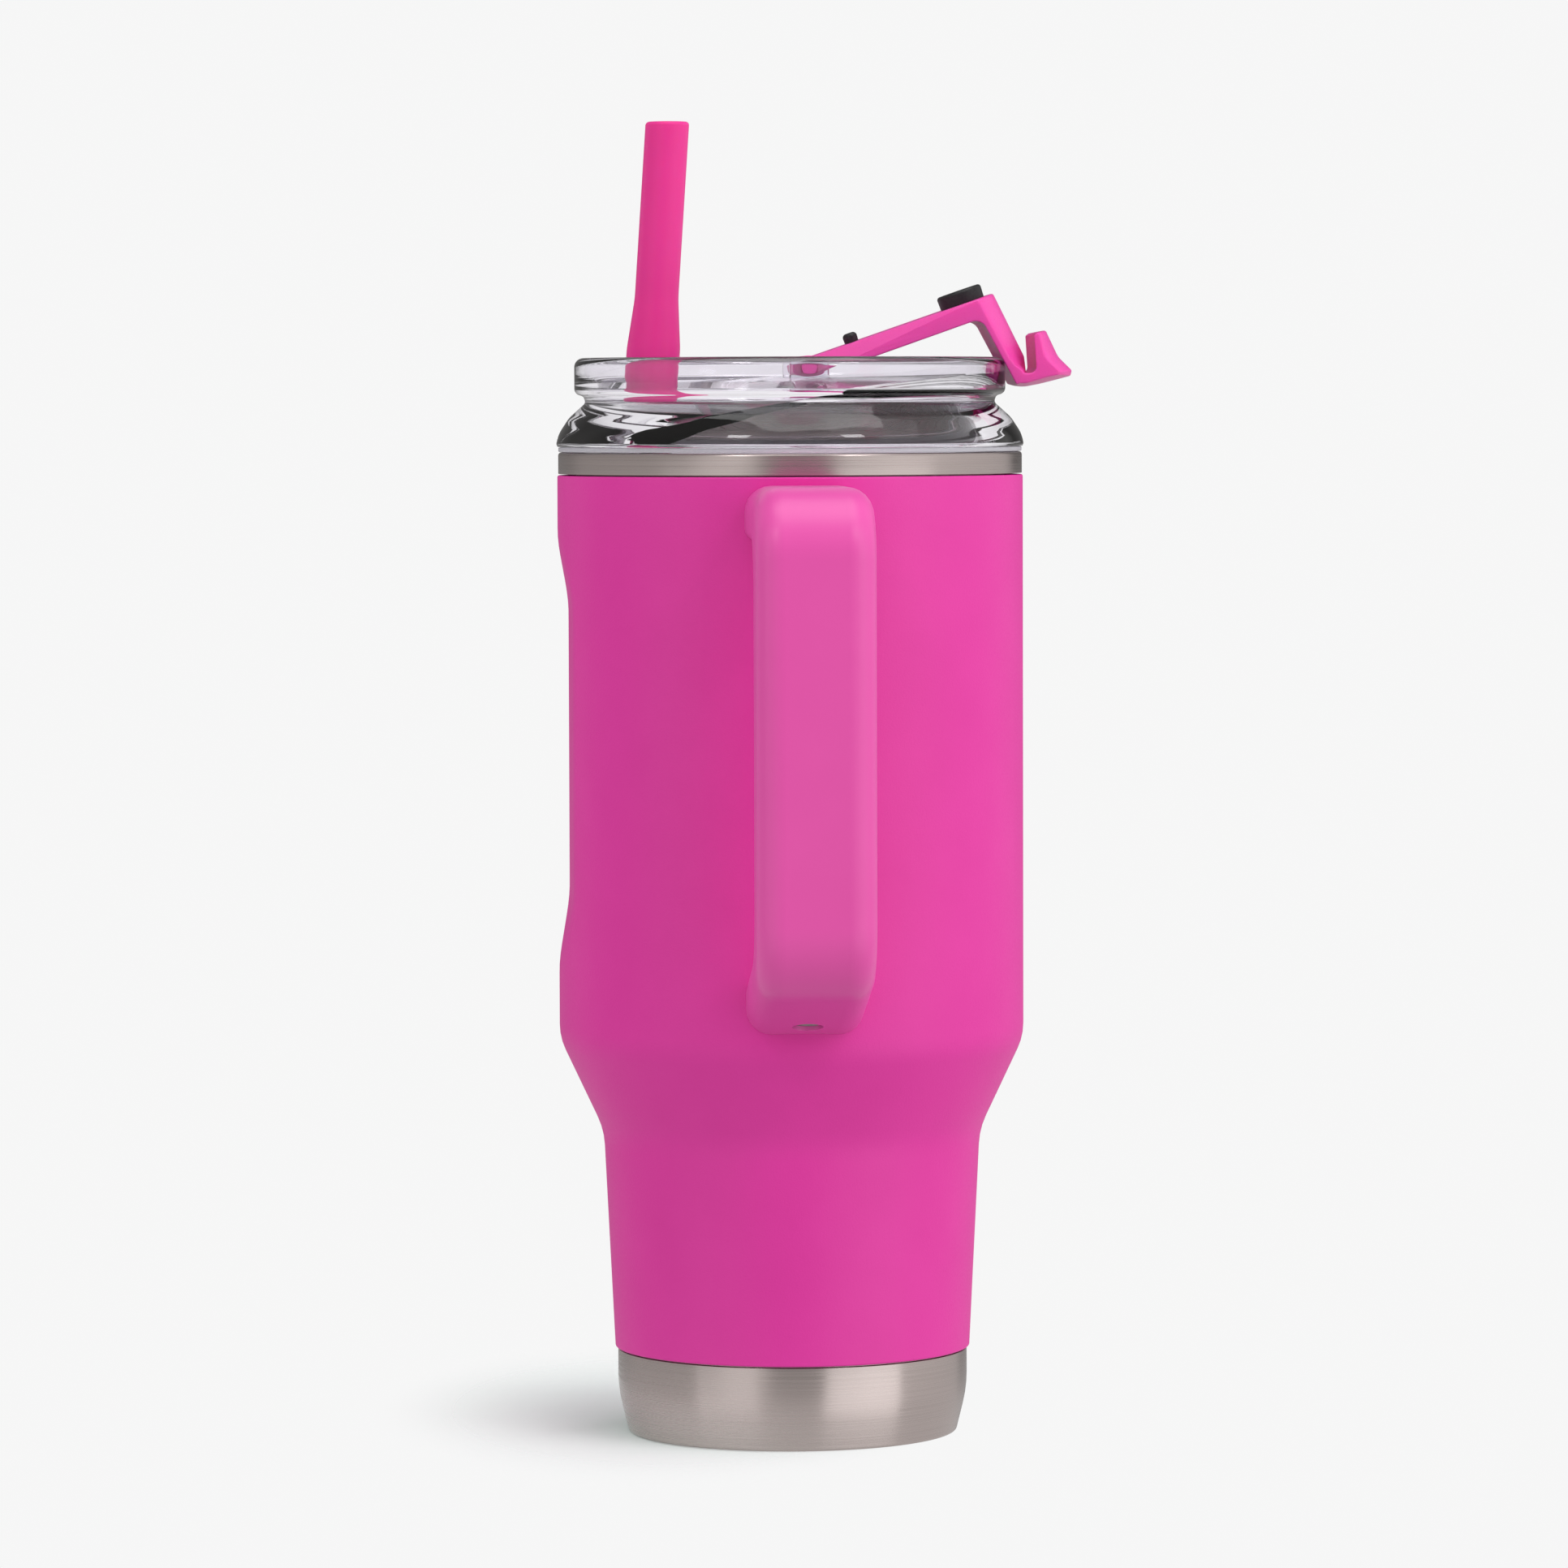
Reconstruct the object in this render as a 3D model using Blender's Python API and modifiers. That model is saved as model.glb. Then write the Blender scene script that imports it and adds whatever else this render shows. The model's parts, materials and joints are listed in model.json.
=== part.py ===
"""Insulated tumbler with a clear lid, flip cover, straw and handle.

Frame: metres, +Z up, origin at the centre of the underside. The handle points
to -Y, the flat panel and the straw are at -X, and the open cover lies to +X.
Sizes below are in millimetres and are turned into metres when a mesh is made.
"""
import math

import bmesh
import bpy
from mathutils import Matrix, Vector

MM = 0.001
ROUND_STEPS = 48          # facets round the body, lid and seals
SMALL_STEPS = 20          # facets round the straw, plugs and screws
ARC_STEP = math.radians(26)
GAP = 0.3                 # between pieces that touch in the real object

# Vessel
SHEET = 0.7
VACUUM_GAP = 3.4         # upper body, with room behind the pressed panel
LOWER_VACUUM_GAP = 2.2
BODY_R = 51.0
TAPER_TOP_Z = 87.0
TAPER_BOTTOM_R = 41.36
TAPER_BOTTOM_Z = 66.55
COAT_BOTTOM_R = 39.0
COAT_BOTTOM_Z = 18.7
COAT_TOP_Z = 210.4
RIM_Z = 215.4
RIM_R = 50.8
CUP_FLOOR_Z = 12.0
BASE_R = 38.4
BASE_FOOT_R = 36.1
BASE_SHEET = 0.8
BASE_RECESS_R = 15.6
BASE_RECESS_Z = 2.6
PORT_R = 1.5               # hole through which the vacuum is drawn
PANEL_DEPTH = 2.7
PANEL_TOP_Z = 199.0
PANEL_BOTTOM_Z = 101.0
PANEL_RUN_IN = 19.0

# Handle, measured outwards from the axis
HANDLE_WIDTH = 25.3
HANDLE_TOP_Z = 208.6
HANDLE_BOTTOM_Z = 91.8
GRIP_OUT = 95.0
GRIP_IN = 80.0
LEG_UNDERSIDE_Z = 196.0
LOWER_LEG_THICK = 12.7     # upright, the same all along the sloping leg
LOWER_LEG_SLOPE = math.tan(math.radians(16))
SCREW_OUT = 58.0
SCREW_RECESS_R = 3.4
SCREW_HOLE_R = 1.7
SCREW_SEAT_Z = 96.2        # plastic under the screw's head
NUT_R = 3.1
NUT_THICK = 2.0
EDGE_R = 5.0

# Lid
RING_R = 47.2
RING_WALL = 2.1
RING_Z = 236.0
RING_FOOT_Z = 228.2
FLANGE_R = 51.2
FLANGE_Z = 216.6
PLUG_R = 45.2
GROOVE_R = 43.5
PLUG_FOOT_Z = 205.0
FLOOR_THICK = 2.3
STRAW_X = -31.2
STRAW_FLOOR_Z = 217.6
FLOOR_SLOPE = math.tan(math.radians(16.5))
FLOOR_BREAK_X = 7.0
FLOOR_FAR_X = 46.0
FLOOR_FAR_Z = 233.0
WELL_CONE_Z = 231.5
WELL_CONE_SLOPE = 0.3435
VENT_X = -6.7
STRAW_HOLE_R = 6.4
VENT_HOLE_R = 1.9

# Flip cover
HINGE_X = 3.45
HINGE_Z = 232.95
CLOSING_ANGLE = math.radians(176.4)
COVER_HALF = 11.0
KNUCKLE_R = 3.44
TRUNNION_R = 1.65
EAR_GAP = 0.4             # between the cover's knuckle and the lid's ears
EAR_THICK = 2.6

# Straw
TIP_R = 4.775
COLLAR_R = 5.85
TIP_Z = 287.5
TUBE_R = 3.6
TUBE_BORE_R = 2.8
TUBE_TOP_Z = 213.6
TUBE_FOOT_Z = 20.0
TIP_LEAN = math.tan(math.radians(3.75))

PINK_COAT = ("powder_coat", (0.60, 0.045, 0.27), 0.45, 0.0)
PINK_PLASTIC = ("pink_plastic", (0.62, 0.06, 0.30), 0.38, 0.0)
PINK_SILICONE = ("pink_silicone", (0.72, 0.05, 0.30), 0.5, 0.0)
STEEL = ("brushed_steel", (0.52, 0.49, 0.47), 0.32, 1.0)
CLEAR = ("clear_plastic", (0.86, 0.84, 0.90), 0.05, 0.0)
WHITE_SILICONE = ("translucent_silicone", (0.80, 0.78, 0.84), 0.4, 0.0)
BLACK_SILICONE = ("black_silicone", (0.012, 0.012, 0.014), 0.45, 0.0)
GETTER = ("getter_metal", (0.22, 0.21, 0.20), 0.7, 0.6)


def clear_scene():
    for item in list(bpy.data.objects):
        bpy.data.objects.remove(item, do_unlink=True)


def make_collection(name):
    collection = bpy.data.collections.new(name)
    bpy.context.scene.collection.children.link(collection)
    return collection


clear_scene()
TUMBLER = make_collection("insulated_tumbler")
CUTTERS = make_collection("cutters")


def material(finish):
    name, colour, roughness, metallic = finish
    if name in bpy.data.materials:
        return bpy.data.materials[name]
    made = bpy.data.materials.new(name)
    made.use_nodes = True
    shader = made.node_tree.nodes["Principled BSDF"]
    shader.inputs["Base Color"].default_value = (*colour, 1.0)
    shader.inputs["Roughness"].default_value = roughness
    shader.inputs["Metallic"].default_value = metallic
    return made


def add_object(name, mesh, finish):
    """Link a mesh as a part, or as a cutter when it has no finish."""
    made = bpy.data.objects.new(name, mesh)
    if finish is None:
        CUTTERS.objects.link(made)
        made.hide_render = True
        made.display_type = "WIRE"
    else:
        TUMBLER.objects.link(made)
        mesh.materials.append(material(finish))
    return made


def add_pivot(name, x, z, y=0.0):
    pivot = bpy.data.objects.new(name, None)
    pivot.location = (x * MM, y * MM, z * MM)
    pivot.empty_display_size = 0.01
    TUMBLER.objects.link(pivot)
    return pivot


def rounded(corners, closed=False):
    """Points of an outline whose corners (a, b, radius) are rounded by arcs."""
    points = []
    count = len(corners)
    for index, (a, b, radius) in enumerate(corners):
        here = Vector((a, b))
        at_end = not closed and index in (0, count - 1)
        if radius == 0 or at_end:
            points.append(here)
            continue
        before = (Vector(corners[index - 1][:2]) - here).normalized()
        after = (Vector(corners[(index + 1) % count][:2]) - here).normalized()
        half = before.angle(after) / 2
        centre = here + (before + after).normalized() * radius / math.sin(half)
        first = here + before * radius / math.tan(half) - centre
        turn = math.pi - 2 * half
        sign = 1 if before.cross(after) < 0 else -1
        pieces = max(2, math.ceil(turn / ARC_STEP))
        for piece in range(pieces + 1):
            spin = Matrix.Rotation(sign * turn * piece / pieces, 2)
            points.append(centre + spin @ first)
    return points


def inset(corners, distance):
    """A side line, given from its top down, moved towards the axis."""
    moved = []
    for index, (r, z, radius) in enumerate(corners):
        normals = []
        for start, end in ((index - 1, index), (index, index + 1)):
            if start < 0 or end >= len(corners):
                continue
            run = Vector(corners[end][:2]) - Vector(corners[start][:2])
            normals.append(Vector((run.y, -run.x)).normalized())
        first, last = normals[0], normals[-1]
        shift = (first + last) * distance / (1 + first.dot(last))
        moved.append((r + shift.x, z + shift.y, radius))
    return moved


def turned(name, corners, finish, steps=ROUND_STEPS, closed=False, sweep=360.0, start=0.0):
    """Turn a profile of (r, z, radius) corners about Z with a Screw modifier."""
    mesh = bpy.data.meshes.new(name)
    points = rounded(corners, closed)
    turn = Matrix.Rotation(math.radians(start), 3, "Z")
    vertices = [turn @ Vector((r * MM, 0.0, z * MM)) for r, z in points]
    edges = [(i, i + 1) for i in range(len(points) - 1)]
    if closed:
        edges.append((len(points) - 1, 0))
    mesh.from_pydata(vertices, edges, [])
    made = add_object(name, mesh, finish)
    screw = made.modifiers.new("turn", "SCREW")
    screw.axis = "Z"
    screw.angle = math.radians(sweep)
    screw.steps = steps
    screw.render_steps = steps
    screw.use_merge_vertices = True
    screw.merge_threshold = 0.00001
    screw.use_smooth_shade = True
    return made


def evaluated_copy(source, name, finish):
    """Replace an object by a plain mesh of its modified shape."""
    bpy.context.view_layer.update()
    graph = bpy.context.evaluated_depsgraph_get()
    mesh = bpy.data.meshes.new_from_object(source.evaluated_get(graph))
    mesh.transform(source.matrix_world)
    work = bmesh.new()
    work.from_mesh(mesh)
    bmesh.ops.remove_doubles(work, verts=work.verts, dist=0.00001)
    work.to_mesh(mesh)
    work.free()
    mesh.materials.clear()
    bpy.data.objects.remove(source, do_unlink=True)
    return add_object(name, mesh, finish)


# Turns a flat outline (a, b) and its thickness into world directions.
FACING_Y = Matrix(((1, 0, 0), (0, 0, -1), (0, 1, 0))).to_4x4()
FACING_X = Matrix(((0, 0, -1), (-1, 0, 0), (0, 1, 0))).to_4x4()
FACING_Z = Matrix.Identity(4)


def slab(name, outline, thickness, facing, finish=None, centre=(0, 0, 0)):
    """Extrude a flat outline, both ways from its plane."""
    curve = bpy.data.curves.new(name, "CURVE")
    curve.dimensions = "2D"
    curve.fill_mode = "BOTH"
    curve.extrude = thickness / 2 * MM
    spline = curve.splines.new("POLY")
    spline.points.add(len(outline) - 1)
    for point, (a, b) in zip(spline.points, outline):
        point.co = (a * MM, b * MM, 0.0, 1.0)
    spline.use_cyclic_u = True
    guide = bpy.data.objects.new(name + "_outline", curve)
    CUTTERS.objects.link(guide)
    guide.matrix_world = Matrix.Translation(Vector(centre) * MM) @ facing
    made = evaluated_copy(guide, name, finish)
    work = bmesh.new()
    work.from_mesh(made.data)
    bmesh.ops.recalc_face_normals(work, faces=work.faces)
    work.to_mesh(made.data)
    work.free()
    return made


def block(name, low, high, finish=None):
    mesh = bpy.data.meshes.new(name)
    work = bmesh.new()
    bmesh.ops.create_cube(work, size=1.0)
    size = Vector(high) - Vector(low)
    bmesh.ops.scale(work, vec=size * MM, verts=work.verts)
    bmesh.ops.translate(work, vec=(Vector(high) + Vector(low)) / 2 * MM, verts=work.verts)
    work.to_mesh(mesh)
    work.free()
    return add_object(name, mesh, finish)


def rod(name, start, end, radius, finish=None, steps=SMALL_STEPS):
    """A cylinder between two points."""
    first = Vector(start)
    run = Vector(end) - first
    mesh = bpy.data.meshes.new(name)
    work = bmesh.new()
    bmesh.ops.create_cone(
        work, cap_ends=True, segments=steps, radius1=radius * MM, radius2=radius * MM,
        depth=run.length * MM)
    turn = run.to_track_quat("Z", "Y").to_matrix().to_4x4()
    bmesh.ops.transform(
        work, matrix=Matrix.Translation((first + run / 2) * MM) @ turn, verts=work.verts)
    work.to_mesh(mesh)
    work.free()
    return add_object(name, mesh, finish)


def combine(target, other, operation="DIFFERENCE"):
    modifier = target.modifiers.new(operation.lower() + "_" + other.name, "BOOLEAN")
    modifier.operation = operation
    modifier.solver = "EXACT"
    modifier.object = other


def sharpen(target, degrees=35):
    target.data.shade_smooth()
    target.data.set_sharp_from_angle(angle=math.radians(degrees))


# ---------------------------------------------------------------- vessel

def taper_r(z):
    """Outside radius of the lower body at a height."""
    slope = (TAPER_BOTTOM_R - COAT_BOTTOM_R) / (TAPER_BOTTOM_Z - COAT_BOTTOM_Z)
    return COAT_BOTTOM_R + slope * (z - COAT_BOTTOM_Z)


def side_line(top_z, bottom_z):
    """Outside line of the vessel from the top down."""
    return [
        (BODY_R, top_z, 0),
        (BODY_R, TAPER_TOP_Z, 13),
        (TAPER_BOTTOM_R, TAPER_BOTTOM_Z, 17),
        (taper_r(bottom_z), bottom_z, 0),
    ]


def panel_depth(z):
    """How deep the flat panel is pressed in at a height."""
    nearest_end = min(PANEL_TOP_Z - z, z - PANEL_BOTTOM_Z)
    part = min(max(nearest_end / PANEL_RUN_IN, 0.0), 1.0)
    return PANEL_DEPTH * part * part * (3 - 2 * part)


def press_panel(shell):
    for vertex in shell.data.vertices:
        depth = panel_depth(vertex.co.z / MM)
        vertex.co.x = max(vertex.co.x, (depth - BODY_R) * MM)


def make_outer_shell():
    side = side_line(COAT_TOP_Z, COAT_BOTTOM_Z)
    rows = []
    for end_z, inward in ((PANEL_TOP_Z, -1), (PANEL_BOTTOM_Z, 1)):
        rows += [(BODY_R, end_z + inward * PANEL_RUN_IN * step / 3, 0) for step in range(4)]
    rows.sort(key=lambda row: -row[1])
    surface = turned("outer_shell_surface", [side[0]] + rows + side[1:], None)
    shell = evaluated_copy(surface, "outer_shell", PINK_COAT)
    press_panel(shell)
    wall = shell.modifiers.new("sheet", "SOLIDIFY")
    wall.thickness = SHEET * MM
    wall.offset = -1
    wall.use_even_offset = True
    sharpen(shell)
    return shell


def liner_line(sheets):
    """Side line of the liner's outer face (one sheet in) or inner face (two)."""
    side = side_line(COAT_TOP_Z, CUP_FLOOR_Z)
    upper = inset(side, sheets * SHEET + VACUUM_GAP)
    lower = inset(side, sheets * SHEET + LOWER_VACUUM_GAP)
    return upper[:2] + lower[2:]


def make_inner_liner():
    outside = liner_line(1)
    inside = liner_line(2)
    bore = inside[0][0]
    under = CUP_FLOOR_Z - SHEET
    corners = [(0, CUP_FLOOR_Z, 0), (inside[-1][0], CUP_FLOOR_Z, 6)]
    corners += [inside[2], inside[1]]
    corners += [
        (bore, RIM_Z, 0.9), (RIM_R, RIM_Z, 0.9),
        (RIM_R, COAT_TOP_Z + GAP, 0), (RIM_R - SHEET, COAT_TOP_Z + GAP, 0),
        (RIM_R - SHEET, RIM_Z - SHEET, 0), (bore + SHEET, RIM_Z - SHEET, 0),
    ]
    corners += [(*outside[1][:2], 0), (*outside[2][:2], 0), (outside[-1][0], under, 6.7), (0, under, 0)]
    liner = turned("inner_liner", corners, STEEL)
    return liner


def make_base_cup():
    outside = [
        (BASE_R, COAT_BOTTOM_Z - GAP, 0), (BASE_R + 0.02, 9.4, 28), (BASE_FOOT_R, 0, 0),
    ]
    inside = inset(outside, BASE_SHEET)
    collar_r = COAT_BOTTOM_R - SHEET - GAP
    collar_z = COAT_BOTTOM_Z + 7.0
    recess_out = BASE_RECESS_R + BASE_SHEET
    plate_z = BASE_RECESS_Z + BASE_SHEET
    corners = [
        (collar_r - BASE_SHEET, collar_z, 0), (collar_r, collar_z, 0),
        (collar_r, COAT_BOTTOM_Z - GAP, 0), outside[0], outside[1], (BASE_FOOT_R, 0, 0.7),
        (BASE_RECESS_R, 0, 0), (BASE_RECESS_R, BASE_RECESS_Z, 0),
        (PORT_R, BASE_RECESS_Z, 0), (PORT_R, plate_z, 0),
        (recess_out, plate_z, 0), (recess_out, BASE_SHEET, 0),
        (inside[2][0], BASE_SHEET, 0), (*inside[1][:2], 0),
    ]
    return turned("base_cup", corners, STEEL, closed=True)


def make_port_closure():
    """Disc flush with the foot, and the bead that shuts the vacuum port above it."""
    disc_r = BASE_RECESS_R - 0.4
    disc_z = 1.2
    turned("base_cover", [(0, disc_z, 0), (disc_r, disc_z, 0), (disc_r, 0, 0), (0, 0, 0)], STEEL, 32)
    stem_r = PORT_R - GAP
    bead_z = BASE_RECESS_Z - GAP
    turned("vacuum_seal_bead", [
        (0, 4.2, 0), (stem_r, 4.2, 0), (stem_r, bead_z, 0), (3.5, bead_z, 0), (3.0, 1.5, 0),
        (0, 1.5, 0),
    ], GETTER, SMALL_STEPS)


def make_getter():
    """Small cup on the floor of the vacuum space, with its pellet."""
    cup_r = 4.6
    bore_r = 4.2
    foot_z = BASE_SHEET + GAP
    floor_z = foot_z + 0.4
    holder = turned("getter_holder", [
        (0, floor_z, 0), (bore_r, floor_z, 0), (bore_r, 3.6, 0), (cup_r, 3.6, 0),
        (cup_r, foot_z, 0), (0, foot_z, 0),
    ], STEEL, SMALL_STEPS)
    pellet_r = bore_r - GAP
    pellet = turned("getter_pellet", [
        (0, 3.3, 0), (pellet_r, 3.3, 0.4), (pellet_r, floor_z + GAP, 0), (0, floor_z + GAP, 0),
    ], GETTER, SMALL_STEPS)
    for piece in (holder, pellet):
        piece.location.x = 25.0 * MM


# ---------------------------------------------------------------- handle

def leg_rise(out):
    """How much higher the sloping lower leg is at this distance than at the body."""
    return (out - BODY_R) * LOWER_LEG_SLOPE


def handle_outline():
    """Outline from the body outwards (out, z), closed inside the vessel."""
    root = BODY_R - 6
    leg_top_z = HANDLE_BOTTOM_Z + LOWER_LEG_THICK
    return rounded([
        (root, HANDLE_TOP_Z, 0), (GRIP_OUT, HANDLE_TOP_Z, 15),
        (GRIP_OUT, HANDLE_BOTTOM_Z + leg_rise(GRIP_OUT), 17),
        (root, HANDLE_BOTTOM_Z + leg_rise(root), 0), (root, leg_top_z + leg_rise(root), 0),
        (GRIP_IN, leg_top_z + leg_rise(GRIP_IN), 9),
        (GRIP_IN, LEG_UNDERSIDE_Z, 9), (root, LEG_UNDERSIDE_Z, 0),
    ], closed=True)


# Brackets: tongue height, foot and head of the plate, and room above the tongue
UPPER_BRACKET = (202.0, 198.6, 206.0, 0.3)
LOWER_BRACKET = (98.3, 97.0, 102.2, 2.7)
TONGUE_OUT = 65.0
TONGUE_THICK = 1.5
BRACKET_WIDTH = 12.0


def bracket(name, levels):
    """Steel angle: a plate against the vessel and a tongue into the handle."""
    tongue_z, foot_z, head_z, _ = levels
    plate_in = BODY_R + GAP
    plate_out = plate_in + TONGUE_THICK
    outline = [
        (plate_in, foot_z), (plate_out, foot_z), (plate_out, tongue_z),
        (TONGUE_OUT, tongue_z), (TONGUE_OUT, tongue_z + TONGUE_THICK),
        (plate_out, tongue_z + TONGUE_THICK), (plate_out, head_z), (plate_in, head_z),
    ]
    return slab(name, outline, BRACKET_WIDTH, FACING_X, STEEL)


def socket(name, levels):
    """Space in a handle leg for a bracket, with room above its tongue."""
    tongue_z, foot_z, head_z, above = levels
    half = BRACKET_WIDTH / 2 + GAP
    plate = block(
        name + "_plate", (-half, -(BODY_R + GAP + TONGUE_THICK + GAP), foot_z - GAP),
        (half, -(BODY_R - 8), head_z + GAP))
    tongue = block(
        name + "_tongue", (-half, -(TONGUE_OUT + GAP), tongue_z - GAP),
        (half, -(BODY_R - 7), tongue_z + TONGUE_THICK + above))
    return plate, tongue


def make_handle():
    handle = slab("handle", handle_outline(), HANDLE_WIDTH, FACING_X, PINK_PLASTIC)
    edges = handle.modifiers.new("edges", "BEVEL")
    edges.width = EDGE_R * MM
    edges.segments = 3
    edges.use_clamp_overlap = False
    edges.limit_method = "ANGLE"
    edges.angle_limit = math.radians(50)
    body = rod("handle_body_cutter", (0, 0, 80), (0, 0, 220), BODY_R + GAP, steps=ROUND_STEPS * 2)
    combine(handle, body)
    for cutter in socket("upper_socket", UPPER_BRACKET) + socket("lower_socket", LOWER_BRACKET):
        combine(handle, cutter)
    axis = (0, -SCREW_OUT)
    recess = rod("screw_recess", (*axis, 85.0), (*axis, SCREW_SEAT_Z), SCREW_RECESS_R)
    combine(handle, recess)
    combine(handle, rod("screw_clearance", (*axis, 95.0), (*axis, 99.0), SCREW_HOLE_R))
    bracket("handle_bracket_upper", UPPER_BRACKET)
    lower = bracket("handle_bracket_lower", LOWER_BRACKET)
    combine(lower, rod("bracket_hole", (*axis, 95.5), (*axis, 104.0), SCREW_HOLE_R))


def make_handle_fasteners():
    end_z = 102.2
    seat_z = SCREW_SEAT_Z - GAP
    head_z = seat_z - 1.7
    shank_r = 1.3
    screw = turned("handle_screw", [
        (0, end_z, 0), (shank_r, end_z, 0), (shank_r, seat_z, 0), (2.8, seat_z, 0),
        (2.8, head_z, 0.6), (0, head_z, 0),
    ], STEEL, SMALL_STEPS)
    screw.location.y = -SCREW_OUT * MM
    for name, half_x, half_y in (("drive_a", 1.6, 0.35), ("drive_b", 0.35, 1.6)):
        low = (-half_x, -SCREW_OUT - half_y, head_z - 1.2)
        high = (half_x, -SCREW_OUT + half_y, head_z + 0.9)
        combine(screw, block(name, low, high))
    corners = []
    for corner in range(6):
        angle = math.radians(60 * corner)
        corners.append((NUT_R * math.cos(angle), NUT_R * math.sin(angle) - SCREW_OUT))
    nut_z = LOWER_BRACKET[0] + TONGUE_THICK + GAP + NUT_THICK / 2
    nut = slab("handle_nut", corners, NUT_THICK, FACING_Z, STEEL, centre=(0, 0, nut_z))
    combine(nut, rod("nut_hole", (0, -SCREW_OUT, 99.0), (0, -SCREW_OUT, 103.0), SCREW_HOLE_R))


# ---------------------------------------------------------------- lid

def floor_line(drop, left, right):
    """Floor of the lid's well from left to right, lowered by drop."""
    def ramp(x):
        return STRAW_FLOOR_Z + (x - STRAW_X) * FLOOR_SLOPE
    far_slope = (FLOOR_FAR_Z - ramp(FLOOR_BREAK_X)) / (FLOOR_FAR_X - FLOOR_BREAK_X)
    right_z = FLOOR_FAR_Z + (right - FLOOR_FAR_X) * far_slope
    return [
        (left, ramp(left) - drop), (FLOOR_BREAK_X, ramp(FLOOR_BREAK_X) - drop),
        (right, right_z - drop),
    ]


def well_r(z):
    """Radius of the well's sloping wall at a height."""
    return RING_R - RING_WALL - WELL_CONE_SLOPE * max(WELL_CONE_Z - z, 0.0)


def make_well_cutter():
    low_z = 208.0
    wall = turned("well_cutter", [
        (0, 240, 0), (well_r(240), 240, 0), (well_r(240), WELL_CONE_Z, 0),
        (well_r(low_z), low_z, 0), (0, low_z, 0),
    ], None)
    line = floor_line(0.0, -60, 60)
    prism = slab("above_floor", line + [(60, 250), (-60, 250)], 130, FACING_Y)
    combine(wall, prism, "INTERSECT")
    return wall


def make_underside_cutter():
    inner_r = 42.9
    pocket = turned("underside_cutter", [
        (0, 245, 0), (42.2, 245, 0), (42.2, 224.5, 0), (inner_r, 217.5, 0),
        (inner_r, 200, 0), (0, 200, 0),
    ], None)
    line = floor_line(FLOOR_THICK, -61, 61)
    prism = slab("below_floor", [(61, 190), (-61, 190)][::-1] + line[::-1], 131, FACING_Y)
    combine(pocket, prism, "INTERSECT")
    return pocket


def make_ears(lid):
    half = 4.25
    top = 235.7
    for side in (-1, 1):
        outline = rounded([
            (HINGE_X - half, 226.4, 0), (HINGE_X + half, 227.4, 0),
            (HINGE_X + half, top, 3), (HINGE_X - half, top, 3),
        ], closed=True)
        y = side * (COVER_HALF + EAR_GAP + EAR_THICK / 2)
        name = "ear_" + ("front" if side < 0 else "back")
        combine(lid, slab(name, outline, EAR_THICK, FACING_Y, centre=(0, y, 0)), "UNION")
    pin_line = rod("pin_hole", (HINGE_X, -18, HINGE_Z), (HINGE_X, 18, HINGE_Z), TRUNNION_R + GAP)
    combine(lid, pin_line)


def make_lid_body():
    lid = turned("lid_body", [
        (0, RING_Z, 0), (RING_R, RING_Z, 2.0), (RING_R, RING_FOOT_Z, 1.4),
        (45.6, 227.4, 0), (44.8, 226.6, 0), (44.9, 225.8, 0),
        (48.4, 222.7, 4), (50.6, 219.4, 6), (FLANGE_R, 217.2, 0), (51.0, FLANGE_Z, 0),
        (PLUG_R, FLANGE_Z, 0), (PLUG_R, 213.3, 0), (GROOVE_R, 213.3, 0), (GROOVE_R, 207.3, 0),
        (PLUG_R, 207.3, 0), (PLUG_R, PLUG_FOOT_Z, 0.8), (0, PLUG_FOOT_Z, 0),
    ], CLEAR)
    combine(lid, make_well_cutter())
    combine(lid, make_underside_cutter())
    make_ears(lid)
    combine(lid, rod("straw_hole", (STRAW_X, 0, 200), (STRAW_X, 0, 230), STRAW_HOLE_R, steps=24))
    combine(lid, rod("vent_hole", (VENT_X, 0, 210), (VENT_X, 0, 230), VENT_HOLE_R))
    return lid


def make_seals():
    fin_r = BODY_R - 2 * SHEET - VACUUM_GAP - GAP
    back_r = GROOVE_R + GAP
    web_r = GROOVE_R + 1.3
    turned("lid_gasket", [
        (back_r, 212.9, 0), (web_r, 212.9, 0), (fin_r, 212.4, 0), (web_r, 211.5, 0),
        (web_r, 210.6, 0), (fin_r, 210.1, 0), (web_r, 209.2, 0), (web_r, 208.5, 0),
        (fin_r, 208.2, 0), (web_r, 207.7, 0), (back_r, 207.7, 0),
    ], WHITE_SILICONE, closed=True)
    turned("rim_seal", [
        (47.4, 216.35, 0), (50.75, 216.35, 0), (50.75, 215.65, 0), (47.4, 215.65, 0),
    ], WHITE_SILICONE, closed=True)
    grommet = turned("straw_grommet", [
        (5.2, 225, 0), (STRAW_HOLE_R - GAP, 225, 0), (STRAW_HOLE_R - GAP, 205, 0), (5.2, 205, 0),
    ], WHITE_SILICONE, 24, closed=True)
    grommet.location.x = STRAW_X * MM
    top = floor_line(0.0, -60, 60)
    foot = floor_line(FLOOR_THICK, -60, 60)
    combine(grommet, slab("grommet_slice", foot + top[::-1], 40, FACING_Y), "INTERSECT")


# ---------------------------------------------------------------- flip cover
# Drawn shut, about the hinge, and then swung open by its pivot.

UNDER_SLOPE = 0.2751              # arm's underside, shut: z = UNDER_Z + x * UNDER_SLOPE
UNDER_Z = -2.785
UNDER_ANGLE = math.atan(UNDER_SLOPE)
FACET_START_X = -41.85            # where the facets along the underside's edges run out
FACET_RISE = 0.109
FACET_TILT = 0.4
COVER_LEVELS = (-1.0, -0.92, -0.55, 0.0, 0.55, 0.92, 1.0)

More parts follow.
